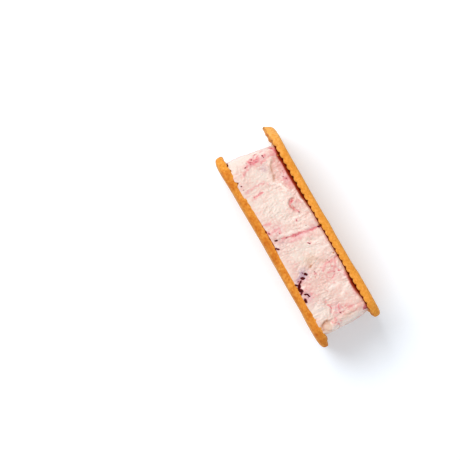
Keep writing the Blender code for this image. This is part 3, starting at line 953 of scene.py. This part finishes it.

# %% [markdown]
# ## Juice, pulp and skin
#
# Berries tint the cream in several ways: a faint pink marbling where their juice was folded in, red
# streaks of crushed pulp, and dark specks of skin with a purple stain round them. Brown in the creases
# is painted shade, and along the right biscuit it is painted shade and painted light bounced off the
# biscuit. Plain cream shows as pale or beige scoops between them, and some pale strokes are painted
# highlights and painted light on the ends.
# Each is one number per vertex, which the material mixes in. The faint marbling is noise, stretched
# the way the knife went. The streaks and specks that give this cookie its own face are placed
# as strokes in millimetres, and a little noise frays their edges.

# %% Streaks of pulp
# Each stroke is its width and strength, and then its path.
PULP_STROKES = (
    (0.4, 0.7, (-31.6, 4.6), (-31.3, 3.6)),
    (0.3, 0.7, (-32.5, 2.2), (-32.2, 1.2)),
    (0.3, 0.55, (-33.3, 2.0), (-33.2, 0.6)),
    (0.45, 0.85, (-31.6, 1.9), (-31.7, 0.5)),
    (0.35, 0.9, (-30.8, 1.4), (-30.8, -0.6)),
    (0.6, 0.9, (-31.7, -0.3), (-31.2, -1.4), (-31.9, -1.9)),
    (0.35, 0.7, (-32.5, 0.2), (-32.5, -1.4)),
    (0.3, 0.8, (-30.8, -1.2), (-30.9, -1.8)),
    (0.45, 0.6, (-29.8, 4.0), (-29.7, 1.9)),
    (0.35, 0.5, (-32.4, -2.6), (-31.0, -3.1)),
    (0.35, 0.75, (-30.9, -3.5), (-30.8, -4.4)),
    (0.4, 0.5, (-29.8, -3.8), (-29.4, -5.0)),
    (0.3, 0.45, (-33.4, 4.4), (-33.2, 3.4)),
    (0.35, 0.5, (-30.6, 5.8), (-30.2, 5.0)),
    (0.25, 0.4, (-28.6, 6.9), (-27.8, 6.4)),
    (0.3, 0.85, (1.3, 9.6), (1.0, 7.5), (0.8, 5.0)),
    (0.45, 0.45, (1.0, 6.0), (0.5, 3.6), (0.1, 2.0)),
    (0.28, 0.8, (0.2, 2.9), (-0.1, 1.5)),
    (0.5, 0.8, (-0.2, 1.6), (-0.3, 0.2), (-0.6, -1.4)),
    (0.28, 1.1, (0.0, 0.8), (-0.2, -0.3)),
    (0.3, 0.75, (-0.7, -1.6), (-1.2, -3.8), (-1.5, -5.4)),
    (0.35, 0.3, (1.6, 1.0), (1.2, -1.6), (1.0, -3.6)),
    (0.3, 0.8, (-20.4, 6.6), (-19.6, 7.6)),
    (0.5, 0.5, (-12.3, 5.2), (-12.2, 4.4), (-11.2, 3.6), (-9.8, 3.5)),
    (0.45, 0.5, (-10.0, 3.5), (-8.3, 4.2), (-7.2, 4.8)),
    (0.4, 0.95, (-11.9, 5.0), (-11.4, 4.3)),
    (0.35, 1.0, (-33.0, 7.2), (-31.8, 8.3)),
    (0.4, 0.85, (-31.9, 8.3), (-29.0, 8.3), (-26.4, 8.5)),
    (0.25, 0.7, (-5.4, 2.8), (-4.5, 2.3)),
    (0.3, 0.8, (4.55, 2.3), (4.9, 2.9)),
    (0.5, 0.5, (13.7, 9.5), (14.2, 7.7), (14.5, 5.9), (13.9, 4.4)),
    (0.4, 0.55, (18.4, 5.4), (19.5, 4.6), (20.2, 3.1)),
    (0.4, 0.8, (18.8, 7.0), (19.1, 7.4)),
    (0.35, 0.8, (15.3, -0.8), (15.5, -1.2)),
    (0.35, 0.45, (15.0, 7.6), (16.8, 6.6), (18.0, 5.0), (17.4, 2.8)),
    (0.3, 0.8, (29.7, 0.7), (30.3, 0.1), (31.2, 0.0)),
    (0.3, 0.75, (32.1, -0.4), (32.8, -0.1)),
    (0.3, 0.4, (32.0, -1.4), (31.6, -2.4)),
    (0.35, 0.45, (31.2, 2.6), (31.0, 3.6)),
    (0.3, 0.35, (25.4, -2.9), (26.6, -3.3)),
    (0.28, 0.85, (27.9, -3.0), (28.4, -2.4), (29.4, -2.3)),
    (0.3, 0.6, (29.4, -2.4), (30.2, -3.1), (30.9, -3.3)),
    (0.5, 0.6, (33.4, -3.0), (33.9, -3.4)),
    (0.4, 0.9, (35.7, -2.9), (36.1, -3.0)),
    (0.3, 0.5, (34.9, -3.6), (35.3, -3.9)),
    (0.45, 1.1, (15.4, -7.2), (16.6, -8.6), (18.4, -9.1), (19.4, -9.5)),
    (0.3, 0.4, (33.6, -4.9), (34.6, -4.4)),
    (0.5, 0.5, (32.4, 5.0), (32.4, 3.6)),
    (0.3, 0.45, (34.2, 5.6), (34.4, 4.2)),
    (0.6, 1.1, (35.0, 9.2), (35.4, 8.2)),
    (0.25, 1.0, (35.4, 8.6), (35.8, 7.6)),
    (0.4, 0.8, (-6.1, -8.7), (-5.2, -8.5)),
    (0.4, 0.45, (-22.8, -1.2), (-23.0, -4.5), (-22.7, -8.6)),
    (0.45, 0.75, (-19.9, -3.2), (-19.8, -6.6)),
    (0.45, 0.5, (-8.6, -6.4), (-9.2, -9.0)),
    (0.4, 0.5, (-5.5, -4.2), (-5.2, -8.1)),
    (0.5, 0.55, (-29.2, -5.3), (-28.6, -6.0)),
    (0.35, 0.6, (-4.2, -4.7), (-3.9, -5.2)),
    (0.45, 0.8, (-31.8, 8.6), (-30.4, 8.5), (-28.8, 8.4)),
    (0.5, 0.5, (-26.5, 8.2), (-22.0, 8.4), (-17.0, 8.2)),
    (0.5, 0.45, (20.5, 8.2), (24.0, 8.5), (29.5, 8.1)),
)
print("streaks of pulp:", len(PULP_STROKES))

# %% [markdown]
# Bits of skin lie alone or in a row, and most of them by the left biscuit. The palest are only
# a dark dot in the cream.

# %% Specks of skin
# Each speck is its place, half length and half width, its turn in degrees and its strength.
SKIN_SPECKS = (
    (14.0, -4.3, 0.65, 0.5, 50, 1.0),
    (13.1, -5.2, 0.4, 0.25, 20, 0.6),
    (14.8, -6.1, 0.68, 0.56, 60, 1.0),
    (15.6, -7.4, 0.6, 0.28, -50, 0.9),
    (16.6, -8.6, 0.75, 0.5, -40, 1.0),
    (15.7, -9.45, 0.6, 0.42, 60, 0.95),
    (17.5, -9.3, 0.85, 0.6, -10, 1.0),
    (18.45, -8.95, 0.85, 0.65, 50, 1.0),
    (19.5, -9.55, 0.7, 0.34, -35, 0.9),
    (15.0, -8.1, 0.4, 0.4, 0, 0.45),
    (20.4, -8.0, 0.7, 0.3, 70, 0.85),
    (21.4, -7.3, 0.65, 0.28, 30, 0.85),
    (21.9, -7.9, 0.35, 0.2, -30, 0.5),
    (22.45, -9.3, 0.92, 0.6, 0, 1.0),
    (-31.6, 3.55, 0.35, 0.25, 20, 0.7),
    (-30.8, 3.65, 0.25, 0.2, 0, 0.7),
    (-30.9, -4.15, 0.35, 0.25, 70, 0.7),
    (-32.4, -0.8, 0.3, 0.2, 80, 0.6),
    (-33.3, 1.3, 0.35, 0.15, 80, 0.45),
    (-31.0, 0.5, 0.4, 0.2, 80, 0.4),
    (-31.7, -1.5, 0.3, 0.25, 0, 0.45),
    (-30.9, -1.5, 0.3, 0.2, 0, 0.4),
    (-32.3, -2.9, 0.25, 0.2, 0, 0.4),
    (-21.2, 6.5, 0.25, 0.2, 0, 0.6),
    (-20.0, 7.2, 0.4, 0.2, 50, 0.45),
    (-23.3, 7.3, 0.3, 0.25, 0, 0.3),
    (-26.8, 1.9, 0.25, 0.2, 0, 0.3),
    (-6.95, 5.0, 0.32, 0.28, 60, 0.6),
    (-4.9, 2.55, 0.45, 0.14, -30, 0.5),
    (-1.4, 4.6, 0.25, 0.25, 0, 0.4),
    (4.75, 2.5, 0.35, 0.25, 50, 0.65),
    (0.0, -0.5, 0.4, 0.2, 80, 0.4),
    (-1.1, -3.7, 0.4, 0.2, 70, 0.55),
    (-25.7, -8.6, 0.35, 0.28, 0, 0.85),
    (-24.1, -8.7, 0.25, 0.2, 0, 0.5),
    (-2.1, -7.6, 0.55, 0.26, 75, 0.95),
    (0.8, -8.7, 0.8, 0.4, 50, 0.95),
    (-0.3, -5.7, 0.25, 0.25, 0, 0.35),
    (-3.8, -5.3, 0.3, 0.2, 80, 0.4),
    (-5.6, -8.6, 0.4, 0.3, 60, 0.5),
    (14.1, 5.6, 0.35, 0.22, 20, 0.5),
    (13.3, 5.3, 0.3, 0.18, -20, 0.4),
    (18.4, 5.2, 0.35, 0.2, -50, 0.45),
    (16.8, 5.7, 0.3, 0.18, -20, 0.4),
    (14.8, -1.0, 0.3, 0.25, 0, 0.5),
    (1.15, 8.7, 0.7, 0.45, 80, 0.79),
    (32.5, -0.3, 0.35, 0.28, 20, 0.5),
    (31.4, 2.4, 0.3, 0.18, 70, 0.35),
    (35.7, 8.5, 0.6, 0.2, 75, 0.55),
)
print("specks of skin:", len(SKIN_SPECKS))

# %% [markdown]
# Painted crease shade, pale streaks and painted highlights are strokes too. Where a tint is broad and
# soft, it is a wash: an oval that fades out from its middle. Washes of one kind are added up, so one
# can also take away what another gave.

# %% Crease shade, highlights and washes
# Painted shade in creases and along folds, and by the right biscuit painted shade and light bounced off
# the biscuit.
CREASE_SHADE_STROKES = (
    (0.55, 0.8, (-28.4, 5.9), (-27.4, 4.9), (-26.4, 4.2), (-25.0, 3.8)),
    (0.35, 0.5, (-25.0, 3.8), (-23.6, 3.6)),
    (0.5, 0.8, (-23.4, 3.5), (-22.3, 3.1), (-21.4, 2.8)),
    (0.6, 1.0, (-32.3, 8.1), (-31.0, 8.6), (-29.0, 8.4), (-27.3, 8.1)),
    (0.3, 0.5, (-33.5, 7.2), (-32.8, 7.9), (-32.2, 8.4)),
    (0.65, 1.1, (32.8, -6.2), (32.7, -7.4), (33.4, -8.4), (34.8, -8.9)),
    (0.4, 0.7, (35.3, -8.0), (36.1, -7.3), (36.5, -6.4)),
    (0.4, 1.2, (12.0, -0.8), (12.5, -1.7)),
    (0.6, 0.35, (9.6, 1.0), (11.4, 2.4), (13.6, 4.2)),
    (0.5, 0.65, (-12.3, 5.2), (-11.8, 3.9), (-10.4, 3.4), (-8.8, 3.9)),
    (0.35, 0.5, (-35.2, -9.3), (-34.0, -9.2)),
    (0.3, 0.45, (34.2, 4.2), (34.8, 2.6), (33.8, 1.2)),
)
# Pale streaks of plain cream, painted highlights on ridges and on the lobe, and two wide strokes of
# painted light over both ends.
MILK_AND_HIGHLIGHT_STROKES = (
    (0.5, 0.85, (-0.7, 5.5), (-1.1, 2.0), (-2.2, -2.4), (-2.6, -5.0)),
    (2.0, 1.0, (37.0, -5.0), (36.6, 7.5)),
    (1.6, 1.0, (-36.8, -8.5), (-35.0, 4.0)),
    (0.5, 0.9, (34.0, -5.0), (35.2, -5.1)),
    (0.45, 1.2, (-20.9, 2.4), (-19.2, 4.1), (-17.0, 5.1)),
    (0.5, 0.8, (5.2, 3.0), (5.3, 8.0)),
    (0.5, 0.9, (22.6, 0.3), (22.9, 4.6)),
    (0.6, 0.8, (-21.0, 1.3), (-21.1, 3.3)),
    (0.5, 0.7, (-5.9, 6.0), (-6.1, -1.0)),
    (0.4, 0.6, (-3.6, 7.5), (-3.9, 2.0)),
    (0.6, 0.7, (24.6, 7.0), (27.5, 3.0)),
    (0.5, 0.6, (8.6, 8.0), (8.0, 4.0)),
    (0.5, 0.6, (-15.0, 1.8), (-10.5, 1.6)),
)
# Each wash is its place, its reach along and across, and its strength. A minus is paler and creamier,
# and at the two ends a minus is painted light.
JUICE_AND_END_LIGHT_WASHES = (
    (-13.0, -1.5, 6.0, 5.5, -0.45),
    (7.5, -1.5, 4.0, 6.0, -0.35),
    (28.5, -6.5, 4.5, 3.0, -0.45),
    # painted light: the -X end, which faces the lamp, made paler
    (-35.4, -3.0, 2.6, 8.0, -0.85),
    (-25.5, -1.0, 3.0, 3.0, -0.25),
    (-20.0, 7.8, 13.0, 1.8, 0.45),
    (-30.9, 0.5, 1.4, 5.5, 0.4),
    (-33.4, 1.0, 1.3, 5.0, -0.75),
    (35.0, -4.4, 1.2, 1.2, 0.3),
    (9.5, -7.5, 4.5, 1.6, 0.25),
    (34.6, 7.4, 2.0, 1.4, 1.0),
    (18.5, -1.0, 4.5, 5.5, 0.2),
    (19.0, -7.3, 4.0, 2.0, 0.5),
    (15.0, 6.0, 3.0, 3.5, 0.18),
    # painted light: the +X end made paler
    (37.2, 0.0, 1.4, 8.0, -0.6),
    (0.0, 1.0, 1.5, 8.0, 0.25),
    (-6.5, -7.0, 4.0, 2.2, 0.3),
    (32.0, 2.5, 3.0, 4.5, 0.25),
)
# Where small dabs of pulp lie close together.
DOTTED_PLACES = (
    (16.0, 4.0, 2.8, 4.0, 0.75),
    (18.5, -3.0, 3.5, 3.5, 0.45),
    (32.5, 0.5, 2.2, 4.5, 0.6),
    (-31.5, 0.0, 1.6, 4.0, 0.6),
    (-21.0, 7.0, 5.0, 1.6, 0.5),
    (-5.5, -6.0, 2.5, 3.0, 0.35),
    (23.5, -5.5, 2.0, 2.0, 0.5),
    (36.0, -2.5, 1.4, 1.6, 0.5),
)
# Where the juice is a cooler, rosier pink, where skin has stained the cream and where it is beige.
ROSE_WASHES = (
    (-31.0, 0.4, 0.8, 4.2, 0.55),
    (-33.4, 5.4, 1.2, 1.8, 0.2),
    (0.5, 2.5, 1.0, 6.5, 0.5),
    (-5.3, -5.5, 2.0, 2.8, 0.35),
    (36.0, -2.8, 1.6, 1.4, 0.7),
    (21.5, -7.4, 2.0, 1.5, 0.5),
    (14.6, -6.2, 1.4, 2.6, 0.4),
    (18.5, 6.0, 2.4, 2.0, 0.2),
    (30.6, -0.5, 2.4, 1.8, 0.4),
    (-20.0, 6.8, 2.4, 1.4, 0.4),
)
STAIN_WASHES = (
    (14.3, -7.2, 1.6, 1.9, 1.0),
    (13.2, -5.0, 1.7, 1.9, 0.9),
    (21.3, -7.6, 1.6, 1.2, 0.5),
    (-27.2, 1.6, 1.6, 1.6, 0.45),
    (-0.5, -6.0, 2.2, 2.0, 0.3),
    (27.0, -6.5, 2.4, 1.6, 0.25),
)
BEIGE_WASHES = (
    (34.9, -6.4, 2.0, 2.2, 1.0),
    (35.3, 0.5, 1.4, 7.0, 0.4),
    (10.2, -0.5, 2.2, 2.6, 0.6),
    (-34.8, 8.0, 1.2, 1.5, 0.3),
)


# %% Strength of strokes, specks and washes
def stroke_strength(u, v, strokes):
    """The strongest of these strokes at each (u, v)."""
    found = np.zeros(len(u))
    for width, strength, *path in strokes:
        found = np.maximum(found, strength * bump(distance_to(u, v, path), width))
    return found


def speck_strength(u, v, specks, edge=0.35):
    """The same for specks, which have a rather crisp edge."""
    found = np.zeros(len(u))
    for u0, v0, length, width, turn, strength in specks:
        cos, sin = math.cos(math.radians(turn)), math.sin(math.radians(turn))
        along, across = (u - u0) * cos + (v - v0) * sin, (v - v0) * cos - (u - u0) * sin
        off = np.hypot(along / length, across / width)
        found = np.maximum(found, strength * (1 - smooth(1 - edge, 1 + edge, off)))
    return found


def wash_strength(u, v, washes):
    """The sum of these broad tints."""
    return sum(w * np.exp(-(((u - a) / p) ** 2) - ((v - b) / q) ** 2) for a, b, p, q, w in washes)


# %% [markdown]
# The darkest specks are real flakes of berry skin, half sunk in the cream, and the same list places
# them. Nine more lie on the sides that the photograph doesn't show. They are found before the cream
# is tinted, because each leaves a dip and a stain in it.

# %% Find where the flakes of skin lie
FLAKE_STRENGTH = 0.8  # a speck at least this strong is a flake of its own
HIDDEN_FLAKES = 9
HIDDEN_REACH = 0.22  # of the way round the block, to each side of the lower side's middle
HIDDEN_SPREAD, HIDDEN_V = 3.0, 7.5  # how far each may lie from an even spacing, and from the middle
HIDDEN_LENGTHS, HIDDEN_HALF_WIDTH = (0.9, 1.5), 0.4
FLAKE_SEED = 7
FLAKE_LEVEL = 0.7  # none is stuck on higher than this, as the knife pressed them in
PRESSED_FROM = -8.6  # nearer to the left biscuit the cream has closed over them


def surface_spot(length_round, v):
    """A point on the cream at this distance round its outline, and its outward direction."""
    on_cream = cream_point(np.array([length_round]), np.array([v]))[0]
    on_cream[1] = v
    on_cream[2] = min(on_cream[2], CREAM_WIDTH / 2 + FLAKE_LEVEL)
    out_x, out_z = at_lengths(cream_outline, [length_round])[1][0]
    return on_cream, Vector((out_x, 0.0, out_z))


def flake_places():
    """Each flake's place on the cream, outward direction, half length, half width and turn."""
    known = arc_lengths(cream_outline)
    on_top = cream_outline[:, 1] > 0
    for u, v, length, width, turn, strength in SKIN_SPECKS:
        if strength >= FLAKE_STRENGTH:
            round_to = np.interp(CREAM_SHIFT - u, -cream_outline[on_top, 0], known[on_top])
            yield *surface_spot(round_to, v), length, width, turn
    # The hidden ones lie along the lower side, where the outline starts, and up both ends.
    rng = np.random.default_rng(FLAKE_SEED)
    for place in np.linspace(-HIDDEN_REACH, HIDDEN_REACH, HIDDEN_FLAKES) * known[-1]:
        round_to = (place + rng.uniform(-HIDDEN_SPREAD, HIDDEN_SPREAD)) % known[-1]
        v, length = rng.uniform(-HIDDEN_V, HIDDEN_V), rng.uniform(*HIDDEN_LENGTHS)
        yield *surface_spot(round_to, v), length / 2, HIDDEN_HALF_WIDTH, 40 * v


flakes = list(flake_places())
print("flakes of skin:", len(flakes))

# The cream under a flake is pressed down to the flake's level.
for centre, outwards, length, *_ in flakes:
    if centre[1] > PRESSED_FROM:
        away = points - centre
        over = away @ np.array(outwards)
        beside = np.linalg.norm(away - over[:, None] * np.array(outwards), axis=1)
        pressed = np.maximum(over, 0.0) * (1 - smooth(0.9, 1.5, beside / length))
        points -= pressed[:, None] * np.array(outwards)
set_points(cream_mesh, points + cookie_middle)

# %% [markdown]
# Now the numbers are worked out for every vertex. The listed strokes hold on the upper face and,
# turned half a turn, on the lower one. The ends have noise alone, which gives them more threads.
#
# First come the coordinates: frayed ones for the strokes, and swirled ones for the marbling, which
# bend as cream does when juice is folded in.

# %% Coordinates for the tints
x, z = all_spots[:, 0] + CREAM_SHIFT, all_spots[:, 1]
around = cream_round / 2 - all_lengths + CREAM_SHIFT
upper, lower, end = face_shares(all_outward)
place = np.stack([x, all_v, z], axis=1)
turned = np.where(lower > 0, -1.0, 1.0)
u, v = turned * points[:, 0], turned * points[:, 1]
long_face = upper + lower

frayed_u = u + 0.30 * rough_cloud(place, 1.1, 61, 3)
frayed_v = v + 0.35 * rough_cloud(place, 1.3, 65, 3)
dabs = 0.75 + 0.5 * cloud(place, 0.6, 69)  # streaks of pulp break up into dabs

swirl_u = around + 1.8 * cloud(place, 5.0, 71) + 0.5 * cloud(place, 1.6, 72)
swirl_v = all_v + 1.8 * cloud(place, 5.0, 73) + 0.5 * cloud(place, 1.6, 74)
lean = scrape_lean(around)
swept = np.stack([(swirl_u + lean * all_v) / 1.1, swirl_v / 2.8, 0 * v], axis=1)
print("vertices to tint:", len(u))

# %% [markdown]
# Marbling, hair-fine lines and small mottles make the pink. The pulp is the strokes, broken into
# dabs, with threads, flecks and close dots from noise where there is most juice.

# %% Pink juice and red pulp
marbling = rough_cloud(swept, 1.0, 75, 4)
patches = rough_cloud(place, 3.5, 81, 3)

washes = wash_strength(u, v, JUICE_AND_END_LIGHT_WASHES) * long_face
mottle = rough_cloud(place, 0.8, 83, 3)
hair = cloud(np.stack([(swirl_u + lean * all_v) / 0.4, swirl_v / 2.2, 0 * v], axis=1), 1.0, 97)
above_fold = smooth(-0.2, 0.3, v - np.interp(u, *zip(*FOLD)))
above_fold *= smooth(-30.0, -28.0, u) * smooth(-13.0, -15.0, u) * long_face
juice_and_end_light = 0.47 + 0.17 * marbling + 0.12 * patches + 0.28 * mottle + 0.17 * hair + 0.9 * washes
juice_and_end_light += 0.22 * above_fold
pulp = stroke_strength(frayed_u, frayed_v, PULP_STROKES) * dabs * long_face
threads = smooth(0.30, 0.05, np.abs(cloud(swept * 0.8, 1.0, 85) + 0.1))
pulp_noise = threads * smooth(0.25, 0.75, cloud(place, 4.0, 87) + 0.3 * end) * 0.4
pulp_noise *= (1 - 0.8 * smooth(-33.0, -34.5, x)) * smooth(-0.3, -0.05, washes)
flecks = smooth(0.62, 0.85, cloud(place, 0.8, 88)) * smooth(-0.1, 0.5, juice_and_end_light - 0.5) * 0.55
dotted = wash_strength(u, v, DOTTED_PLACES) * long_face
flecks += smooth(0.35, 0.7, cloud(place, 0.6, 98)) * dotted
pulp_noise = np.maximum(pulp_noise, flecks)
pulp = np.maximum(pulp, pulp_noise)

# %% [markdown]
# The rest is what stands out from the pink: painted shade in the gap by the right biscuit, skin and its
# stain, painted crease shade, pale streaks and painted highlights. Where skin or the painted gap shade
# lies, the cream loses its sheen.

# %% Painted gap shade, skin, stains, crease shade and highlights
# Painted shade: dark red-brown at the cream's edge by the right biscuit, strongest where the edge has
# drawn back, and all down the sides that lie between the biscuits.
edge_shade = (0.05 + 0.33 * shrunk(u)) * smooth(8.5, 9.1, all_v) * upper
gap_shade = np.maximum(edge_shade, smooth(0.0, 0.45, all_inset))
rose = wash_strength(frayed_u, frayed_v, ROSE_WASHES) * (1 + 0.6 * mottle) * long_face
specks = speck_strength(frayed_u * 0.6 + u * 0.4, frayed_v * 0.6 + v * 0.4, SKIN_SPECKS) * upper
stray = smooth(0.78, 0.88, cloud(place, 1.1, 91)) * smooth(0.1, 0.5, cloud(place, 7.0, 92)) * 0.8
skin = np.maximum(specks, stray * smooth(14.0, 8.0, z))
from_flake = np.min([np.linalg.norm(place - centre, axis=1) for centre, *_ in flakes], axis=0)
stain = wash_strength(frayed_u, frayed_v, STAIN_WASHES) * smooth(-0.35, 0.5, marbling + 0.3) * upper
stain = np.maximum(stain, 0.25 * bump(from_flake + 0.5 * mottle, 1.1))
beige = wash_strength(frayed_u, frayed_v, BEIGE_WASHES) * long_face
# Painted shade in creases and along folds.
crease_shade_and_bounce = stroke_strength(frayed_u, frayed_v, CREASE_SHADE_STROKES)
crease_shade_and_bounce *= (0.8 + 0.4 * cloud(place, 0.8, 96)) * long_face
# Along the right biscuit: painted shade, and painted light bounced off the biscuit.
crease_shade_and_bounce = np.maximum(crease_shade_and_bounce, 0.6 * smooth(8.2, 9.0, all_v) * upper)
dull = np.maximum(smooth(0.1, 0.6, skin), smooth(0.0, 0.6, gap_shade))
# Painted highlights and painted light from the strokes, and pale plain cream from the noise.
milk_and_highlight = stroke_strength(frayed_u, frayed_v, MILK_AND_HIGHLIGHT_STROKES) * long_face
milk_and_highlight = np.maximum(milk_and_highlight, smooth(0.3, 0.9, -marbling) * smooth(0.0, 0.6, cloud(place, 3.0, 95)))

# %% Keep the tints on the mesh
tints = {
    "juice_and_end_light": juice_and_end_light,
    "pulp": pulp,
    "skin": skin,
    "stain": stain,
    "beige": beige,
    "milk_and_highlight": milk_and_highlight,
    "crease_shade_and_bounce": crease_shade_and_bounce,
    "gap_shade": gap_shade,
    "rose": rose,
    "dull": dull,
}
for name, values in tints.items():
    store(cream_mesh, name, np.clip(values, 0, 1.2))
    print(name, "covers", round(float(np.mean(np.clip(values, 0, 1))), 3))

# %% [markdown]
# Cream is fat and water: light enters it and comes out a little further on, so it glows softly in
# its own folds. Subsurface scattering of well under a millimetre gives that without blurring the
# streaks. It is moist, which a roughness of 0.42 shows as soft broad highlights.

# %% Material: whipped berry cream
berry_cream, cream_shader = new_material(
    "whipped_berry_cream",
    {
        "Roughness": 0.42,
        "IOR": 1.46,
        "Subsurface Weight": 0.25,
        "Subsurface Radius": (1.0, 0.6, 0.5),
        "Subsurface Scale": 0.45 * MM,
    },
)


def tint(below, attribute, hex_colour, low=0.0, high=1.0, most=1.0):
    """Mixes a colour over what is below, as strongly as this number on the mesh says."""
    amount = add_node(berry_cream, "ShaderNodeAttribute", attribute_name=attribute)
    ranged = add_node(
        berry_cream,
        "ShaderNodeMapRange",
        {"Value": amount.outputs["Fac"], "From Min": low, "From Max": high, "To Max": most},
    )
    inputs = {FACTOR: ranged.outputs["Result"], COLOUR_A: below, COLOUR_B: paint(hex_colour)}
    return add_node(berry_cream, "ShaderNodeMix", inputs, data_type="RGBA").outputs[MIXED]


# From the palest to the darkest. Pulp, skin and the painted gap shade have a second, deeper colour.
# pink juice, made paler at the two ends as painted light
layer = tint(paint("#E7D5CA"), "juice_and_end_light", "#DEA69C", 0.15, 1.2)
layer = tint(layer, "rose", "#E09AAC", most=0.75)
layer = tint(layer, "beige", "#D5AD92", most=0.8)
# pale cream, painted highlights and painted light on the ends
layer = tint(layer, "milk_and_highlight", "#F7E4DB", most=0.9)
layer = tint(layer, "stain", "#B59BAF", most=0.75)
# painted crease shade, and painted bounce light by the right biscuit
layer = tint(layer, "crease_shade_and_bounce", "#BA7A54", most=0.85)
layer = tint(layer, "pulp", "#DE7C82", 0.0, 0.6)
layer = tint(layer, "pulp", "#A82E3E", 0.6, 1.2, 0.8)
layer = tint(layer, "skin", "#822A38", 0.1, 0.6)
layer = tint(layer, "skin", "#400204", 0.5, 0.95)
# painted shade in the gaps and at the cream's edge by the right biscuit
layer = tint(layer, "gap_shade", "#B0380C", 0.0, 0.45)
layer = tint(layer, "gap_shade", "#5C0400", 0.3, 0.9)
berry_cream.node_tree.links.new(layer, cream_shader.inputs["Base Color"])

# Skin and the painted gap shade have none of the cream's sheen, and stay dark.
CREAM_SHEEN, SKIN_SHEEN = 0.4, 0.06

dull_amount = add_node(berry_cream, "ShaderNodeAttribute", attribute_name="dull").outputs["Fac"]
sheen = add_node(
    berry_cream,
    "ShaderNodeMapRange",
    {"Value": dull_amount, "To Min": CREAM_SHEEN, "To Max": SKIN_SHEEN},
)
berry_cream.node_tree.links.new(sheen.outputs["Result"], cream_shader.inputs["Specular IOR Level"])

show("berry_cream_block", cream_mesh, berry_cream, "cream_filling")

# %% [markdown]
# ## Flakes of berry skin
#
# Crushed berries leave bits of skin one or two millimetres long, folded and crumpled. Each one here
# is a small ball pressed flat, dented and curled, and sunk a little into the cream. Wet skin is nearly
# black, with a deep red where light falls on it. The cream's fat has taken most of its gloss.

# %% Build the flakes
FLAKE_THICKNESS = 0.24  # from its middle to its surface
FLAKE_SINK = 0.1
FLAKE_CURL = 0.6  # of its half width
FLAKE_ROUNDNESS = 4  # levels of an icosphere, which give 1,280 triangles


def ball(subdivisions):
    """Points and faces of a small even ball of radius 1."""
    bpy.ops.mesh.primitive_ico_sphere_add(subdivisions=subdivisions, radius=1.0)
    made = bpy.context.object
    ball_points = np.array([vertex.co for vertex in made.data.vertices])
    ball_faces = np.array([face.vertices for face in made.data.polygons])
    bpy.data.objects.remove(made)
    return ball_points, ball_faces


flake_points, flake_faces = [], []
ball_points, ball_faces = ball(FLAKE_ROUNDNESS)
for k, (centre, outwards, length, width, turn) in enumerate(flakes):
    dented = ball_points * (1.15 + 0.4 * rough_cloud(ball_points + 9.0 * k, 1.1, 101, 3))[:, None]
    saddle = 0.35 * dented[:, 0] ** 2 - 0.2 * dented[:, 1] ** 2
    shaped = dented * np.array([length, width, FLAKE_THICKNESS])
    shaped[:, 2] += FLAKE_CURL * width * saddle - FLAKE_SINK
    spin = Matrix.Rotation(math.radians(turn), 3, "Z")
    stand = outwards.to_track_quat("Z", "Y").to_matrix() @ spin
    flake_faces.append(ball_faces + k * len(ball_points))
    flake_points.append(shaped @ np.array(stand).T + centre + cookie_middle)
flake_points, flake_faces = np.concatenate(flake_points), np.concatenate(flake_faces)
flake_mesh = make_mesh("berry_skin_flakes", flake_points, flake_faces)

wet_skin, _ = new_material(
    "wet_berry_skin",
    {
        "Base Color": paint("#500406"),
        "Roughness": 0.4,
        "IOR": 1.4,
        "Specular IOR Level": 0.08,
    },
)
show("berry_skin_flakes", flake_mesh, wet_skin)

# %% [markdown]
# ## Crumbs
#
# Cutting and handling sheds a few crumbs of dough, which stick to the cream along the biscuits.
# They are dented balls too, a quarter to half a millimetre across.

# %% Build the crumbs
CRUMB_COUNT = 24
CRUMB_SIZES = (0.13, 0.26)  # from their middle to their surface
CRUMB_V, CRUMB_SPREAD = 9.25, 0.5  # how far out the outermost lie, and how far in they stray
CRUMB_SEED = 23
CRUMB_ROUNDNESS = 3  # which gives 320 triangles

rng = np.random.default_rng(CRUMB_SEED)
crumb_points, crumb_faces = [], []
ball_points, ball_faces = ball(CRUMB_ROUNDNESS)
for k in range(CRUMB_COUNT):
    v = math.copysign(CRUMB_V - abs(rng.normal(0.0, CRUMB_SPREAD)), rng.uniform(-1, 1))
    centre, _ = surface_spot(rng.uniform(0, cream_round), v)
    size = rng.uniform(*CRUMB_SIZES) * rng.uniform(0.7, 1.3, 3)
    dents = 1 + 0.5 * rough_cloud(ball_points + 5.0 * k, 0.9, 111, 3)
    crumb_points.append(ball_points * dents[:, None] * size + centre + cookie_middle)
    crumb_faces.append(ball_faces + k * len(ball_points))
crumb_points, crumb_faces = np.concatenate(crumb_points), np.concatenate(crumb_faces)
crumb_mesh = make_mesh("dough_crumbs", crumb_points, crumb_faces)
for name, value in (("grain_tone_and_shade", 0.3), ("rim", 0.0), ("toast", 0.4)):
    store(crumb_mesh, name, np.full(len(crumb_mesh.vertices), value))
show("dough_crumbs", crumb_mesh, dough)
